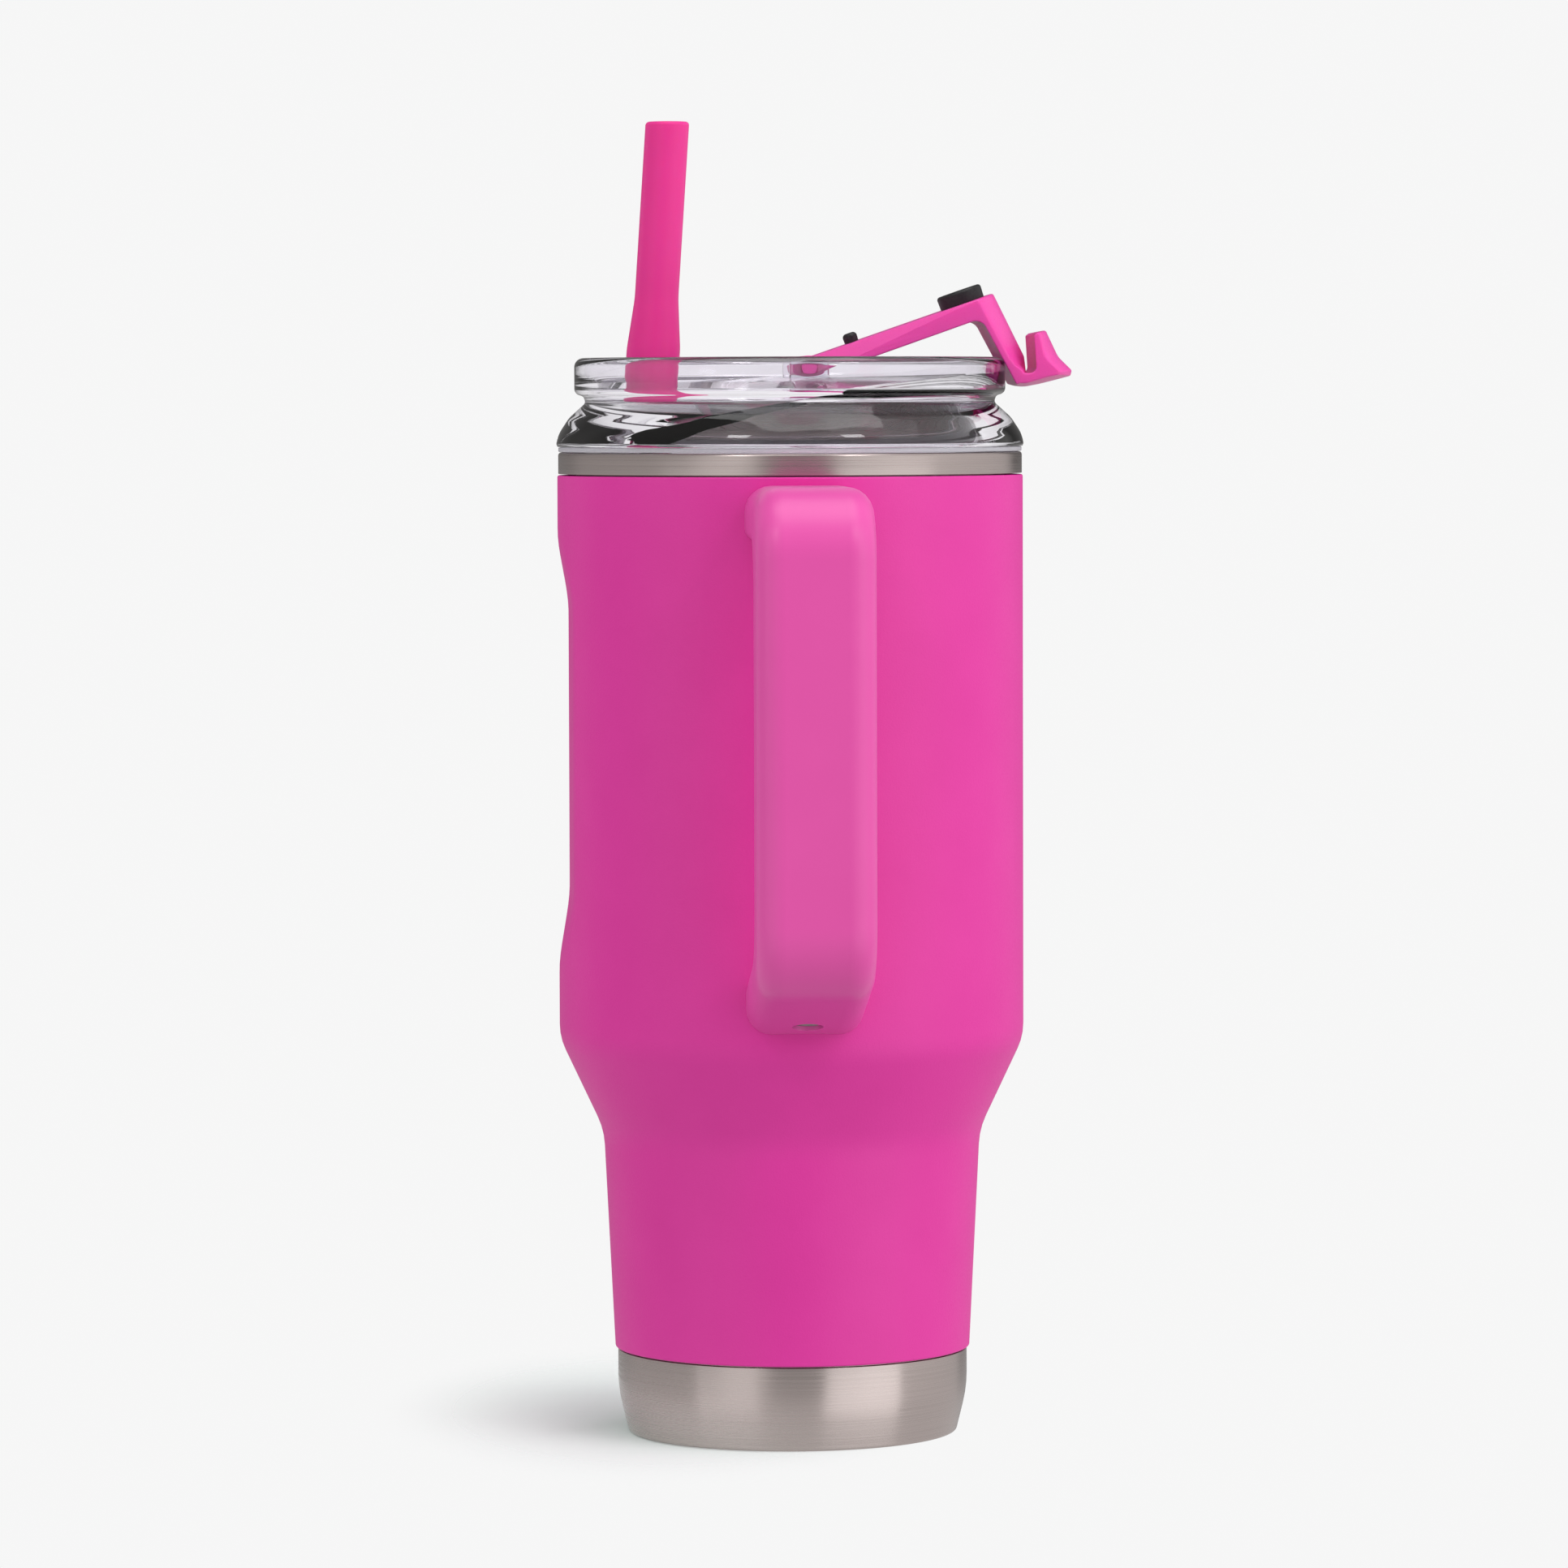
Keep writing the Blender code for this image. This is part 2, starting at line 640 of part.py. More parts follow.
# Corners (x, z, radius, and how far a corner moves in x and z at the cover's two sides)
FLANGE_INSIDE = [
    (-39.95, -9.40, 2.6, 1.5, 0.42),
    (-45.90, 6.20, 0.5, 0.9, -0.5),
]
BRIDGE_TOP = [
    (-47.60, 6.50, 0, 0.8, -0.8),
    (-51.05, 6.07, 0, 2.0, -0.85),
    (-54.68, 5.42, 0, 3.0, -0.8),
    (-58.05, 4.75, 0.5, 3.6, -0.5),
]
LEVER_OUTSIDE = [
    (-58.40, 3.55, 0.5, 3.6, 0.0),
    (-55.60, 0.45, 5.0, 3.6, 0.0),
    (-53.15, -5.60, 0.4, 2.4, 0.4),
]
RING_SLOT = [
    (-50.95, -5.15, 0.4, 1.3, 0.35),
    (-50.95, 3.75, 0, 1.3, 0.0),
    (-47.90, 3.75, 0, 1.4, 0.0),
    (-47.90, 1.40, 0, 3.2, 0.0),
]
FLANGE_OUTSIDE = [
    (-47.90, -0.20, 0, 4.2, 0.0),
    (-42.15, -14.40, 0.5, 4.2, 1.16),
]


def cover_outline():
    """Points (x, z, side shift in x and z, on the underside or not) round the shut cover."""
    first = math.radians(-113.3)
    last = math.radians(163.5)
    steps = 9
    points = []
    for step in range(steps + 1):
        angle = first + (last - first) * step / steps
        x = KNUCKLE_R * math.cos(angle)
        points.append((x, KNUCKLE_R * math.sin(angle), 0.0, 0.0, step == 0))
    corners = FLANGE_INSIDE + BRIDGE_TOP + LEVER_OUTSIDE + RING_SLOT + FLANGE_OUTSIDE
    line = [(*points[-1][:2], 0)] + [corner[:3] for corner in corners] + [(*points[0][:2], 0)]
    for index, corner in enumerate(corners):
        arc = rounded(line[index:index + 3])[1:-1]
        for point in arc:
            underside = corner is corners[-1] and point is arc[-1]
            points.append((point.x, point.y, corner[3], corner[4], underside))
    return points


def cover_point(point, level):
    """Place of an outline point at a share of the way from the middle to a side."""
    x, z, shift_x, shift_z, underside = point
    y = level * COVER_HALF
    if underside:
        height = FACET_RISE * (x - FACET_START_X)
        if abs(level) == 1.0:
            z += height
        elif abs(level) > 0.9:
            y = math.copysign(COVER_HALF - FACET_TILT * height, level)
    bend = (y / COVER_HALF) ** 2
    return ((x + shift_x * bend) * MM, y * MM, (z + shift_z * bend) * MM)


def cover_solid(name):
    """Skin the cover's outline from side to side."""
    outline = cover_outline()
    work = bmesh.new()
    rings = []
    for level in COVER_LEVELS:
        rings.append([work.verts.new(cover_point(point, level)) for point in outline])
    for near, far in zip(rings, rings[1:]):
        for index in range(len(outline)):
            after = (index + 1) % len(outline)
            work.faces.new((near[index], near[after], far[after], far[index]))
    work.faces.new(rings[0][::-1])
    work.faces.new(rings[-1])
    work.normal_update()
    bmesh.ops.triangulate(work, faces=work.faces, ngon_method="EAR_CLIP")
    bmesh.ops.recalc_face_normals(work, faces=work.faces)
    mesh = bpy.data.meshes.new(name)
    work.to_mesh(mesh)
    work.free()
    return add_object(name, mesh, PINK_PLASTIC)


def under_point(x, out):
    """Point on the arm's underside at x, and out from it along its normal."""
    z = UNDER_Z + x * UNDER_SLOPE
    return (x + out * math.sin(UNDER_ANGLE), 0.0, z - out * math.cos(UNDER_ANGLE))


def make_flip_cover(pivot):
    cover = cover_solid("flip_cover")
    reach = COVER_HALF + EAR_GAP + 2.3
    trunnions = rod("trunnions", (0, -reach, 0), (0, reach, 0), TRUNNION_R)
    combine(cover, trunnions, "UNION")
    spout_x, vent_x = SPOUT_PLUG["x"], VENT_PLUG["x"]
    spout_hole = rod("spout_stem_hole", under_point(spout_x, 1.0), under_point(spout_x, -2.9), 2.3)
    vent_hole = rod("vent_stem_hole", under_point(vent_x, 1.0), under_point(vent_x, -2.3), 1.3)
    combine(cover, spout_hole)
    combine(cover, vent_hole)
    for piece in (cover, trunnions, spout_hole, vent_hole):
        piece.parent = pivot


SPOUT_PLUG = {"x": -35.4, "radius": 5.0, "height": 3.2, "stem_r": 2.0, "stem_depth": 2.6, "edge": 0.8}
VENT_PLUG = {"x": -10.56, "radius": 1.6, "height": 2.2, "stem_r": 1.0, "stem_depth": 2.0, "edge": 0.9}


def make_plug(name, size, pivot):
    """Soft plug on the arm's underside, with a stem pressed into the arm."""
    radius, stem_r = size["radius"], size["stem_r"]
    plug = turned(name, [
        (0, size["stem_depth"], 0), (stem_r, size["stem_depth"], 0), (stem_r, -GAP, 0),
        (radius, -GAP, 0), (radius, -size["height"], size["edge"]), (0, -size["height"], 0),
    ], BLACK_SILICONE, SMALL_STEPS)
    plug.parent = pivot
    plug.location = Vector(under_point(size["x"], 0.0)) * MM
    plug.rotation_euler.y = -UNDER_ANGLE


# ---------------------------------------------------------------- straw

def make_straw():
    pivot = add_pivot("straw_slide", STRAW_X, STRAW_FLOOR_Z)
    collar_z = STRAW_FLOOR_Z + COLLAR_R * FLOOR_SLOPE + GAP
    grip_r = TUBE_R + GAP
    skirt_r = 4.9
    skirt_z = 204.0
    mouthpiece = turned("mouthpiece_upright", [
        (3.1, TIP_Z, 0), (TIP_R, TIP_Z, 0.7), (TIP_R, 247.5, 12), (COLLAR_R, 238.5, 12),
        (COLLAR_R, collar_z, 0), (skirt_r, collar_z, 0), (skirt_r, skirt_z, 0),
        (grip_r, skirt_z, 0), (grip_r, TUBE_TOP_Z + GAP, 0), (3.1, TUBE_TOP_Z + GAP, 0),
    ], None, SMALL_STEPS, closed=True)
    mouthpiece = evaluated_copy(mouthpiece, "straw_mouthpiece", PINK_SILICONE)
    for vertex in mouthpiece.data.vertices:
        height = vertex.co.z / MM - STRAW_FLOOR_Z
        vertex.co.x += max(height, 0.0) * TIP_LEAN * MM
        vertex.co.z -= STRAW_FLOOR_Z * MM
    sharpen(mouthpiece)
    tube = turned("straw_tube", [
        (TUBE_BORE_R, TUBE_TOP_Z, 0), (TUBE_R, TUBE_TOP_Z, 0),
        (TUBE_R, TUBE_FOOT_Z, 0), (TUBE_BORE_R, TUBE_FOOT_Z, 0),
    ], PINK_PLASTIC, SMALL_STEPS, closed=True)
    tube.location.z = -STRAW_FLOOR_Z * MM
    mouthpiece.parent = pivot
    tube.parent = pivot


def build():
    make_outer_shell()
    make_inner_liner()
    make_base_cup()
    make_port_closure()
    make_getter()
    make_handle()
    make_handle_fasteners()
    make_lid_body()
    make_seals()
    pivot = add_pivot("cover_hinge", HINGE_X, HINGE_Z)
    make_flip_cover(pivot)
    make_plug("spout_plug", SPOUT_PLUG, pivot)
    make_plug("vent_plug", VENT_PLUG, pivot)
    pivot.rotation_euler.y = CLOSING_ANGLE
    make_straw()


build()
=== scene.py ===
"""Looks of the insulated tumbler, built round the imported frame.

The frame is in metres, +Z up. Sizes below are in millimetres; those of the
outside come from the boxes of the frame's nodes.
"""
import json
import math

import bmesh
import bpy
from mathutils import Matrix, Vector


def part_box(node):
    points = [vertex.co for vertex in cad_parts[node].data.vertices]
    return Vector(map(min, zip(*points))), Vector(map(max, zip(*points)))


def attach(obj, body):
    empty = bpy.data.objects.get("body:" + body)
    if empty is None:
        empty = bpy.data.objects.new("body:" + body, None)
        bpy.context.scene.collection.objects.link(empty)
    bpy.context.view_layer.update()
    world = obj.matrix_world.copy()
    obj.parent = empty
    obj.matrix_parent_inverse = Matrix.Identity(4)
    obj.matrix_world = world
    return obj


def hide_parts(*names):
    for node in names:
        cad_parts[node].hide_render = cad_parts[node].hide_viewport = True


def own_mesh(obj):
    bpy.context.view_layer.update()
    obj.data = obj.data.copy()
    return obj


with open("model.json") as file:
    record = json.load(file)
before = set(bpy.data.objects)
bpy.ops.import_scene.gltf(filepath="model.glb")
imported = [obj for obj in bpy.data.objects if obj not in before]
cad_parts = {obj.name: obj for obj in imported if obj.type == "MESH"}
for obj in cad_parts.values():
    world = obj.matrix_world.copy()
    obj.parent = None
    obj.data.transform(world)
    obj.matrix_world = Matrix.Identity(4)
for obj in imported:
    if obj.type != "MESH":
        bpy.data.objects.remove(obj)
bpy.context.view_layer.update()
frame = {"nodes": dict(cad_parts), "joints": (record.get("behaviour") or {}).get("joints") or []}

MM = 0.001
FINE = 256                # facets round the body and the lid
MEDIUM = 96
SMALL = 64
ARC_STEP = math.radians(9)


def node_box(name):
    """Lowest and highest corner of a CAD node, in millimetres."""
    low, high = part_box(name)
    return Vector(low) / MM, Vector(high) / MM


SHELL_LOW, SHELL_HIGH = node_box("outer_shell")
LINER_LOW, LINER_HIGH = node_box("inner_liner")
BASE_HIGH = node_box("base_cup")[1]
HANDLE_LOW, HANDLE_HIGH = node_box("handle")
LID_LOW, LID_HIGH = node_box("lid_body")
TIP_LOW, TIP_HIGH = node_box("straw_mouthpiece")
TUBE_LOW, TUBE_HIGH = node_box("straw_tube")
SEAL_LOW, SEAL_HIGH = node_box("rim_seal")
GASKET_LOW, GASKET_HIGH = node_box("lid_gasket")
SCREW_LOW, SCREW_HIGH = node_box("handle_screw")
HINGE = next(joint for joint in frame["joints"] if joint["name"] == "cover_hinge")

GAP = 0.3

# Vessel
SHEET = 0.7
UPPER_VACUUM = 3.4
LOWER_VACUUM = 2.2
BODY_R = SHELL_HIGH.y
COAT_TOP_Z = SHELL_HIGH.z
COAT_BOTTOM_Z = SHELL_LOW.z
TAPER_TOP_Z = 87.0
TAPER_BOTTOM_R = 41.36
TAPER_BOTTOM_Z = 66.55
COAT_BOTTOM_R = 39.0
RIM_R = LINER_HIGH.x
RIM_Z = LINER_HIGH.z
CUP_FLOOR_Z = LINER_LOW.z + SHEET
BASE_R = BASE_HIGH.x
BASE_BELLY_Z = 9.4
BASE_FOOT_R = 36.1
BASE_SHEET = 0.8
PANEL_DEPTH = 2.7
PANEL_TOP_Z = 199.0
PANEL_BOTTOM_Z = 101.0
PANEL_RUN_IN = 19.0
PANEL_EDGE = 0.9          # blend between the flat and the round wall

# Handle, measured outwards from the axis
HANDLE_HALF = HANDLE_HIGH.x
HANDLE_TOP_Z = 208.6
HANDLE_FOOT_Z = 91.8
GRIP_OUT = -HANDLE_LOW.y
GRIP_IN = GRIP_OUT - 15.0
LEG_UNDERSIDE_Z = 196.0
LOWER_LEG_THICK = 12.7     # upright, the same all along the sloping leg
LOWER_LEG_SLOPE = math.tan(math.radians(16))
SCREW_OUT = -(SCREW_LOW.y + SCREW_HIGH.y) / 2
HANDLE_ROOT_R = BODY_R - 13.0
HANDLE_EDGE = 5.6
INNER_EDGE = 0.62          # how much of the rounding the grip's inner side gets
SCREW_SEAT_Z = 96.2
SCREW_RECESS_R = 3.4
SCREW_HOLE_R = 1.7
BRACKET_HALF = 6.3         # slots in the legs for the steel brackets
BRACKET_SHEET = 1.5
PLATE_IN, PLATE_OUT = 43.0, 53.1
TONGUE_IN, TONGUE_OUT = 44.0, 65.3
# Heights of a bracket's tongue, foot and head, and the room above its tongue
BRACKETS = [(202.0, 198.6, 206.0, 0.3), (98.3, 97.0, 102.2, 2.7)]

# Lid
RING_R = 47.2
RING_WALL = 2.1
RING_Z = LID_HIGH.z
RING_FOOT_Z = 228.2
FLANGE_R = LID_HIGH.y
FLANGE_Z = 216.6
PLUG_R = 45.2
GROOVE_R = 43.5
GROOVE_TOP_Z = 213.3
GROOVE_FOOT_Z = 207.3
PLUG_FOOT_Z = LID_LOW.z
# The lid's outside from the top of its ring down, as (r, z, radius)
LID_OUTSIDE = [
    (RING_R, RING_Z, 2.0), (RING_R, RING_FOOT_Z, 1.5),
    (45.2, 227.6, 1.0), (44.75, 226.2, 0.9),      # waist
    (48.4, 222.9, 7), (50.7, 219.4, 7),           # dome
    (FLANGE_R, 217.2, 0.8), (50.95, FLANGE_Z, 0.25),
]
FLOOR_THICK = 2.3
PAST_LID = 60.0            # further out than the lid reaches
STRAW_X = (TUBE_LOW.x + TUBE_HIGH.x) / 2
STRAW_FLOOR_Z = 217.6
FLOOR_SLOPE = math.tan(math.radians(16.5))
FLOOR_BREAK_X = 7.0
FLOOR_FAR_X = 46.0
FLOOR_FAR_Z = 233.0
WELL_CONE_Z = 231.5
WELL_CONE_SLOPE = 0.3435
VENT_X = -6.7
STRAW_HOLE_R = 6.4
VENT_HOLE_R = 1.9
GROMMET_BORE_R = 5.2

# Flip cover, drawn shut and about its hinge
HINGE_X = HINGE["pos_m"][0] / MM
HINGE_Z = HINGE["pos_m"][2] / MM
CLOSING_ANGLE = math.radians(HINGE["range_deg"][1])
COVER_HALF = 11.0
KNUCKLE_R = 3.44
KNUCKLE_START = math.radians(-113.3)
KNUCKLE_END = math.radians(163.5)
TRUNNION_R = 1.65
TRUNNION_REACH = 2.3       # past the gap beside the cover
EAR_GAP = 0.4
EAR_HALF_THICK = 1.3
COVER_EDGE = 0.4
UNDER_SLOPE = 0.2751
UNDER_Z = -2.785
UNDER_ANGLE = math.atan(UNDER_SLOPE)
FACET_START_X = -41.85     # where the facets along the underside's edges run out
FACET_RISE = 0.109
FACET_TILT = 0.4
FACET_FULL = 1.2           # height from which a facet takes the edge's place

# Straw
TIP_R = 4.775
COLLAR_R = 5.85
TIP_Z = TIP_HIGH.z
TIP_FOOT_Z = 249.0
COLLAR_TOP_Z = 238.0
TUBE_R = (TUBE_HIGH.x - TUBE_LOW.x) / 2
TUBE_BORE_R = 2.8
TIP_LEAN = math.tan(math.radians(3.75))


# ---------------------------------------------------------------- materials

NOISE_LOW, NOISE_HIGH = 0.3, 0.7      # range of a noise texture's values
# Sockets of a Mix node for colours
MIX_FACTOR, MIX_A, MIX_B, MIX_RESULT = 0, 6, 7, 2


class Tree:
    """Short-hand for building a node tree."""

    def __init__(self, tree):
        self.tree = tree

    def add(self, kind, **values):
        """A new node; each value sets the socket of that name, or else the attribute."""
        node = self.tree.nodes.new(kind)
        for key, value in values.items():
            socket = key.replace("_", " ")
            if socket in node.inputs:
                node.inputs[socket].default_value = value
            else:
                setattr(node, key, value)
        return node

    def link(self, source, output, target, socket):
        self.tree.links.new(source.outputs[output], target.inputs[socket])


class Nodes(Tree):
    """A material built round one Principled shader."""

    def __init__(self, name, **sockets):
        self.material = bpy.data.materials.new(name)
        self.material.use_nodes = True
        super().__init__(self.material.node_tree)
        self.shader = self.tree.nodes["Principled BSDF"]
        for socket, value in sockets.items():
            self.shader.inputs[socket.replace("_", " ")].default_value = value

    def noise(self, scale, stretch=(1, 1, 1), detail=2.0):
        """Noise over the object's own coordinates, stretched along its axes."""
        place = self.add("ShaderNodeTexCoord")
        mapping = self.add("ShaderNodeMapping", Scale=stretch)
        noise = self.add("ShaderNodeTexNoise", Scale=scale, Detail=detail)
        self.link(place, "Object", mapping, "Vector")
        self.link(mapping, "Vector", noise, "Vector")
        return noise

    def spread(self, noise, socket, low, high):
        """Drive a plain socket by a noise, between two values."""
        remap = self.add(
            "ShaderNodeMapRange", From_Min=NOISE_LOW, From_Max=NOISE_HIGH, To_Min=low, To_Max=high)
        self.link(noise, "Fac", remap, "Value")
        self.link(remap, "Result", self.shader, socket)

    def tint(self, noise, dark, light):
        """Drive the base colour by a noise, between two colours."""
        ramp = self.add("ShaderNodeValToRGB")
        ramp.color_ramp.elements[0].position = NOISE_LOW
        ramp.color_ramp.elements[1].position = NOISE_HIGH
        ramp.color_ramp.elements[0].color = (*dark, 1.0)
        ramp.color_ramp.elements[1].color = (*light, 1.0)
        self.link(noise, "Fac", ramp, "Fac")
        self.link(ramp, "Color", self.shader, "Base Color")

    def bump(self, noise, distance, strength=1.0):
        bump = self.add("ShaderNodeBump", Strength=strength, Distance=distance)
        self.link(noise, "Fac", bump, "Height")
        self.link(bump, "Normal", self.shader, "Normal")


def powder_coat():
    made = Nodes("powder_coat_pink", IOR=1.5, Specular_IOR_Level=0.5)
    made.tint(made.noise(60.0, detail=3.0), (0.690, 0.025, 0.322), (0.712, 0.029, 0.336))
    grain = made.noise(2600.0, detail=2.0)
    made.spread(grain, "Roughness", 0.42, 0.52)
    made.bump(grain, 0.00005, 0.6)
    return made.material


def moulded_pink(name, dark, light, roughness, gloss, depth=0.0):
    """Pink plastic or silicone; depth is how much light goes into it."""
    made = Nodes(name, IOR=1.49, Specular_IOR_Level=gloss, Subsurface_Weight=depth)
    made.shader.inputs["Subsurface Radius"].default_value = (1.0, 0.25, 0.45)
    made.shader.inputs["Subsurface Scale"].default_value = 0.003
    made.tint(made.noise(35.0, detail=2.0), dark, light)
    grain = made.noise(4200.0, detail=1.0)
    made.spread(grain, "Roughness", roughness - 0.03, roughness + 0.04)
    made.bump(grain, 0.00002, 0.5)
    return made.material


def brushed_steel():
    made = Nodes("brushed_steel", Metallic=1.0, Anisotropic=0.75, Anisotropic_Rotation=0.25)
    lines = made.noise(1.0, stretch=(14, 14, 5200), detail=3.0)
    made.tint(lines, (0.575, 0.500, 0.482), (0.635, 0.553, 0.535))
    made.spread(lines, "Roughness", 0.22, 0.34)
    made.bump(lines, 0.00001, 0.15)
    tangent = made.add("ShaderNodeTangent", direction_type="RADIAL", axis="Z")
    made.link(tangent, "Tangent", made.shader, "Tangent")
    return made.material


def plain_steel(name, dark, light):
    made = Nodes(name, Metallic=1.0)
    grain = made.noise(900.0)
    made.tint(grain, dark, light)
    made.spread(grain, "Roughness", 0.28, 0.38)
    return made.material


def clear_plastic():
    made = Nodes(
        "clear_plastic", Transmission_Weight=1.0, IOR=1.5,
        Base_Color=(0.935, 0.915, 0.96, 1.0))
    made.spread(made.noise(300.0), "Roughness", 0.0, 0.03)
    return made.material


def translucent_silicone():
    made = Nodes("translucent_silicone", Transmission_Weight=0.55, IOR=1.41)
    grain = made.noise(1500.0)
    made.tint(grain, (0.78, 0.77, 0.83), (0.84, 0.83, 0.88))
    made.spread(grain, "Roughness", 0.35, 0.5)
    return made.material


def black_silicone():
    made = Nodes("black_silicone", IOR=1.42)
    grain = made.noise(2200.0)
    made.tint(grain, (0.010, 0.010, 0.012), (0.020, 0.020, 0.022))
    made.spread(grain, "Roughness", 0.38, 0.5)
    made.bump(grain, 0.00002, 0.5)
    return made.material


def sintered_grey():
    made = Nodes("sintered_grey", Metallic=0.4)
    grain = made.noise(3000.0, detail=4.0)
    made.tint(grain, (0.07, 0.07, 0.07), (0.14, 0.135, 0.13))
    made.spread(grain, "Roughness", 0.6, 0.8)
    made.bump(grain, 0.00008)
    return made.material


COAT = powder_coat()
HANDLE_PINK = moulded_pink(
    "handle_plastic_pink", (0.715, 0.075, 0.365), (0.740, 0.082, 0.382), 0.36, 0.5)
COVER_PINK = moulded_pink(
    "cover_plastic_pink", (0.760, 0.066, 0.375), (0.785, 0.072, 0.392), 0.30, 0.4, 0.3)
STRAW_PINK = moulded_pink(
    "straw_silicone_pink", (0.735, 0.034, 0.265), (0.760, 0.040, 0.285), 0.42, 0.3, 0.3)
TUBE_PINK = moulded_pink(
    "straw_tube_pink", (0.735, 0.034, 0.265), (0.760, 0.040, 0.285), 0.25, 0.4)
STEEL = brushed_steel()
PLAIN_STEEL = plain_steel("plain_steel", (0.50, 0.49, 0.48), (0.58, 0.57, 0.56))
# Steel darkened well below plain steel: painted shade, standing in for the deeper recess round the
# screw's head
SHADED_SCREW_STEEL = plain_steel("screw_steel_painted_shade", (0.22, 0.20, 0.20), (0.30, 0.27, 0.27))
CLEAR = clear_plastic()
SEAL = translucent_silicone()
BLACK = black_silicone()
GREY = sintered_grey()


# ---------------------------------------------------------------- shapes

def rounded(corners, closed=False):
    """Points of an outline whose corners (a, b, radius) are rounded by arcs."""
    points = []
    count = len(corners)
    for index, (a, b, radius) in enumerate(corners):
        here = Vector((a, b))
        at_end = not closed and index in (0, count - 1)
        if radius == 0 or at_end:
            points.append(here)
            continue
        before = (Vector(corners[index - 1][:2]) - here).normalized()
        after = (Vector(corners[(index + 1) % count][:2]) - here).normalized()
        half = before.angle(after) / 2
        centre = here + (before + after).normalized() * radius / math.sin(half)
        first = here + before * radius / math.tan(half) - centre
        turn = math.pi - 2 * half
        sign = 1 if before.cross(after) < 0 else -1
        pieces = max(3, math.ceil(turn / ARC_STEP))
        for piece in range(pieces + 1):
            spin = Matrix.Rotation(sign * turn * piece / pieces, 2)
            points.append(centre + spin @ first)
    return points


def inset(corners, distance):
    """A side line, given from its top down, moved towards the axis."""
    moved = []
    for index, (r, z, radius) in enumerate(corners):
        normals = []
        for start, end in ((index - 1, index), (index, index + 1)):
            if start < 0 or end >= len(corners):
                continue
            run = Vector(corners[end][:2]) - Vector(corners[start][:2])
            normals.append(Vector((run.y, -run.x)).normalized())
        first, last = normals[0], normals[-1]
        shift = (first + last) * distance / (1 + first.dot(last))
        moved.append((r + shift.x, z + shift.y, radius))
    return moved


def new_object(name, mesh, finish=None):
    made = bpy.data.objects.new(name, mesh)
    bpy.context.scene.collection.objects.link(made)
    if finish is not None:
        mesh.materials.append(finish)
    return made


def smooth(piece, degrees=32):
    piece.data.shade_smooth()
    piece.data.set_sharp_from_angle(angle=math.radians(degrees))


def settled(piece):
    """The piece as a plain mesh object of its modified shape."""
    bpy.context.view_layer.update()
    graph = bpy.context.evaluated_depsgraph_get()
    mesh = bpy.data.meshes.new_from_object(piece.evaluated_get(graph))
    mesh.transform(piece.matrix_world)
    name = piece.name
    bpy.data.objects.remove(piece, do_unlink=True)
    return new_object(name, mesh)


def turned(name, corners, finish=None, steps=FINE, closed=False):
    """Turn a profile of (r, z, radius) corners about Z."""
    points = rounded(corners, closed)
    mesh = bpy.data.meshes.new(name)
    edges = [(i, i + 1) for i in range(len(points) - 1)]
    if closed:
        edges.append((len(points) - 1, 0))
    mesh.from_pydata([(r * MM, 0.0, z * MM) for r, z in points], edges, [])
    made = new_object(name, mesh, finish)
    screw = made.modifiers.new("turn", "SCREW")
    screw.steps = steps
    screw.render_steps = steps
    screw.use_merge_vertices = True
    screw.merge_threshold = 0.000002
    made = settled(made)
    smooth(made)
    return made


def inward_shifts(outline):
    """For each point of a counter-clockwise outline, its step inwards per millimetre of inset."""
    shifts = []
    count = len(outline)
    for index, here in enumerate(outline):
        ahead = (outline[(index + 1) % count] - here).normalized()
        behind = (here - outline[index - 1]).normalized()
        first = Vector((-behind.y, behind.x))
        last = Vector((-ahead.y, ahead.x))
        shifts.append((first + last) / max(1 + first.dot(last), 0.3))
    return shifts


def edge_slices(half, edge, middle_slices, corner_slices=6):
    """(offset, share) pairs across a moulding: share is how far its rim is rounded off, 0 to 1."""
    rim = []
    for step in range(corner_slices + 1):
        angle = math.pi / 2 * step / corner_slices
        rim.append((-half + edge * (1 - math.cos(angle)), 1 - math.sin(angle)))
    inner = half - edge
    middle = [(-inner + 2 * inner * k / middle_slices, 0.0) for k in range(1, middle_slices)]
    return rim + middle + [(-offset, share) for offset, share in rim[::-1]]


def skinned(name, rings, finish=None, degrees=32):
    """A closed body through rings of points, in millimetres."""
    work = bmesh.new()
    loops = [[work.verts.new(Vector(point) * MM) for point in ring] for ring in rings]
    count = len(loops[0])
    for near, far in zip(loops, loops[1:]):
        for i in range(count):
            j = (i + 1) % count
            work.faces.new((near[i], near[j], far[j], far[i]))
    ends = [work.faces.new(loops[0][::-1]), work.faces.new(loops[-1])]
    work.normal_update()
    bmesh.ops.triangulate(work, faces=ends, ngon_method="EAR_CLIP")
    bmesh.ops.recalc_face_normals(work, faces=work.faces)
    mesh = bpy.data.meshes.new(name)
    work.to_mesh(mesh)
    work.free()
    made = new_object(name, mesh, finish)
    smooth(made, degrees)
    return made


def moulding(name, outline, half, edge, place, finish=None, middle_slices=1, weights=None):
    """A flat outline given thickness, with its rims rounded by edge.

    weights scales the rounding at each point, and place turns (a, b, offset) into a position.
    """
    if sum(p.cross(outline[(i + 1) % len(outline)]) for i, p in enumerate(outline)) < 0:
        outline = outline[::-1]
        weights = weights[::-1] if weights else None
    weights = weights or [1.0] * len(outline)
    shifts = inward_shifts(outline)
    rings = []
    for offset, share in edge_slices(half, edge, middle_slices):
        ring = []
        for point, shift, weight in zip(outline, shifts, weights):
            moved = point + shift * edge * weight * share
            ring.append(place(moved.x, moved.y, offset))
        rings.append(ring)
    return skinned(name, rings, finish)


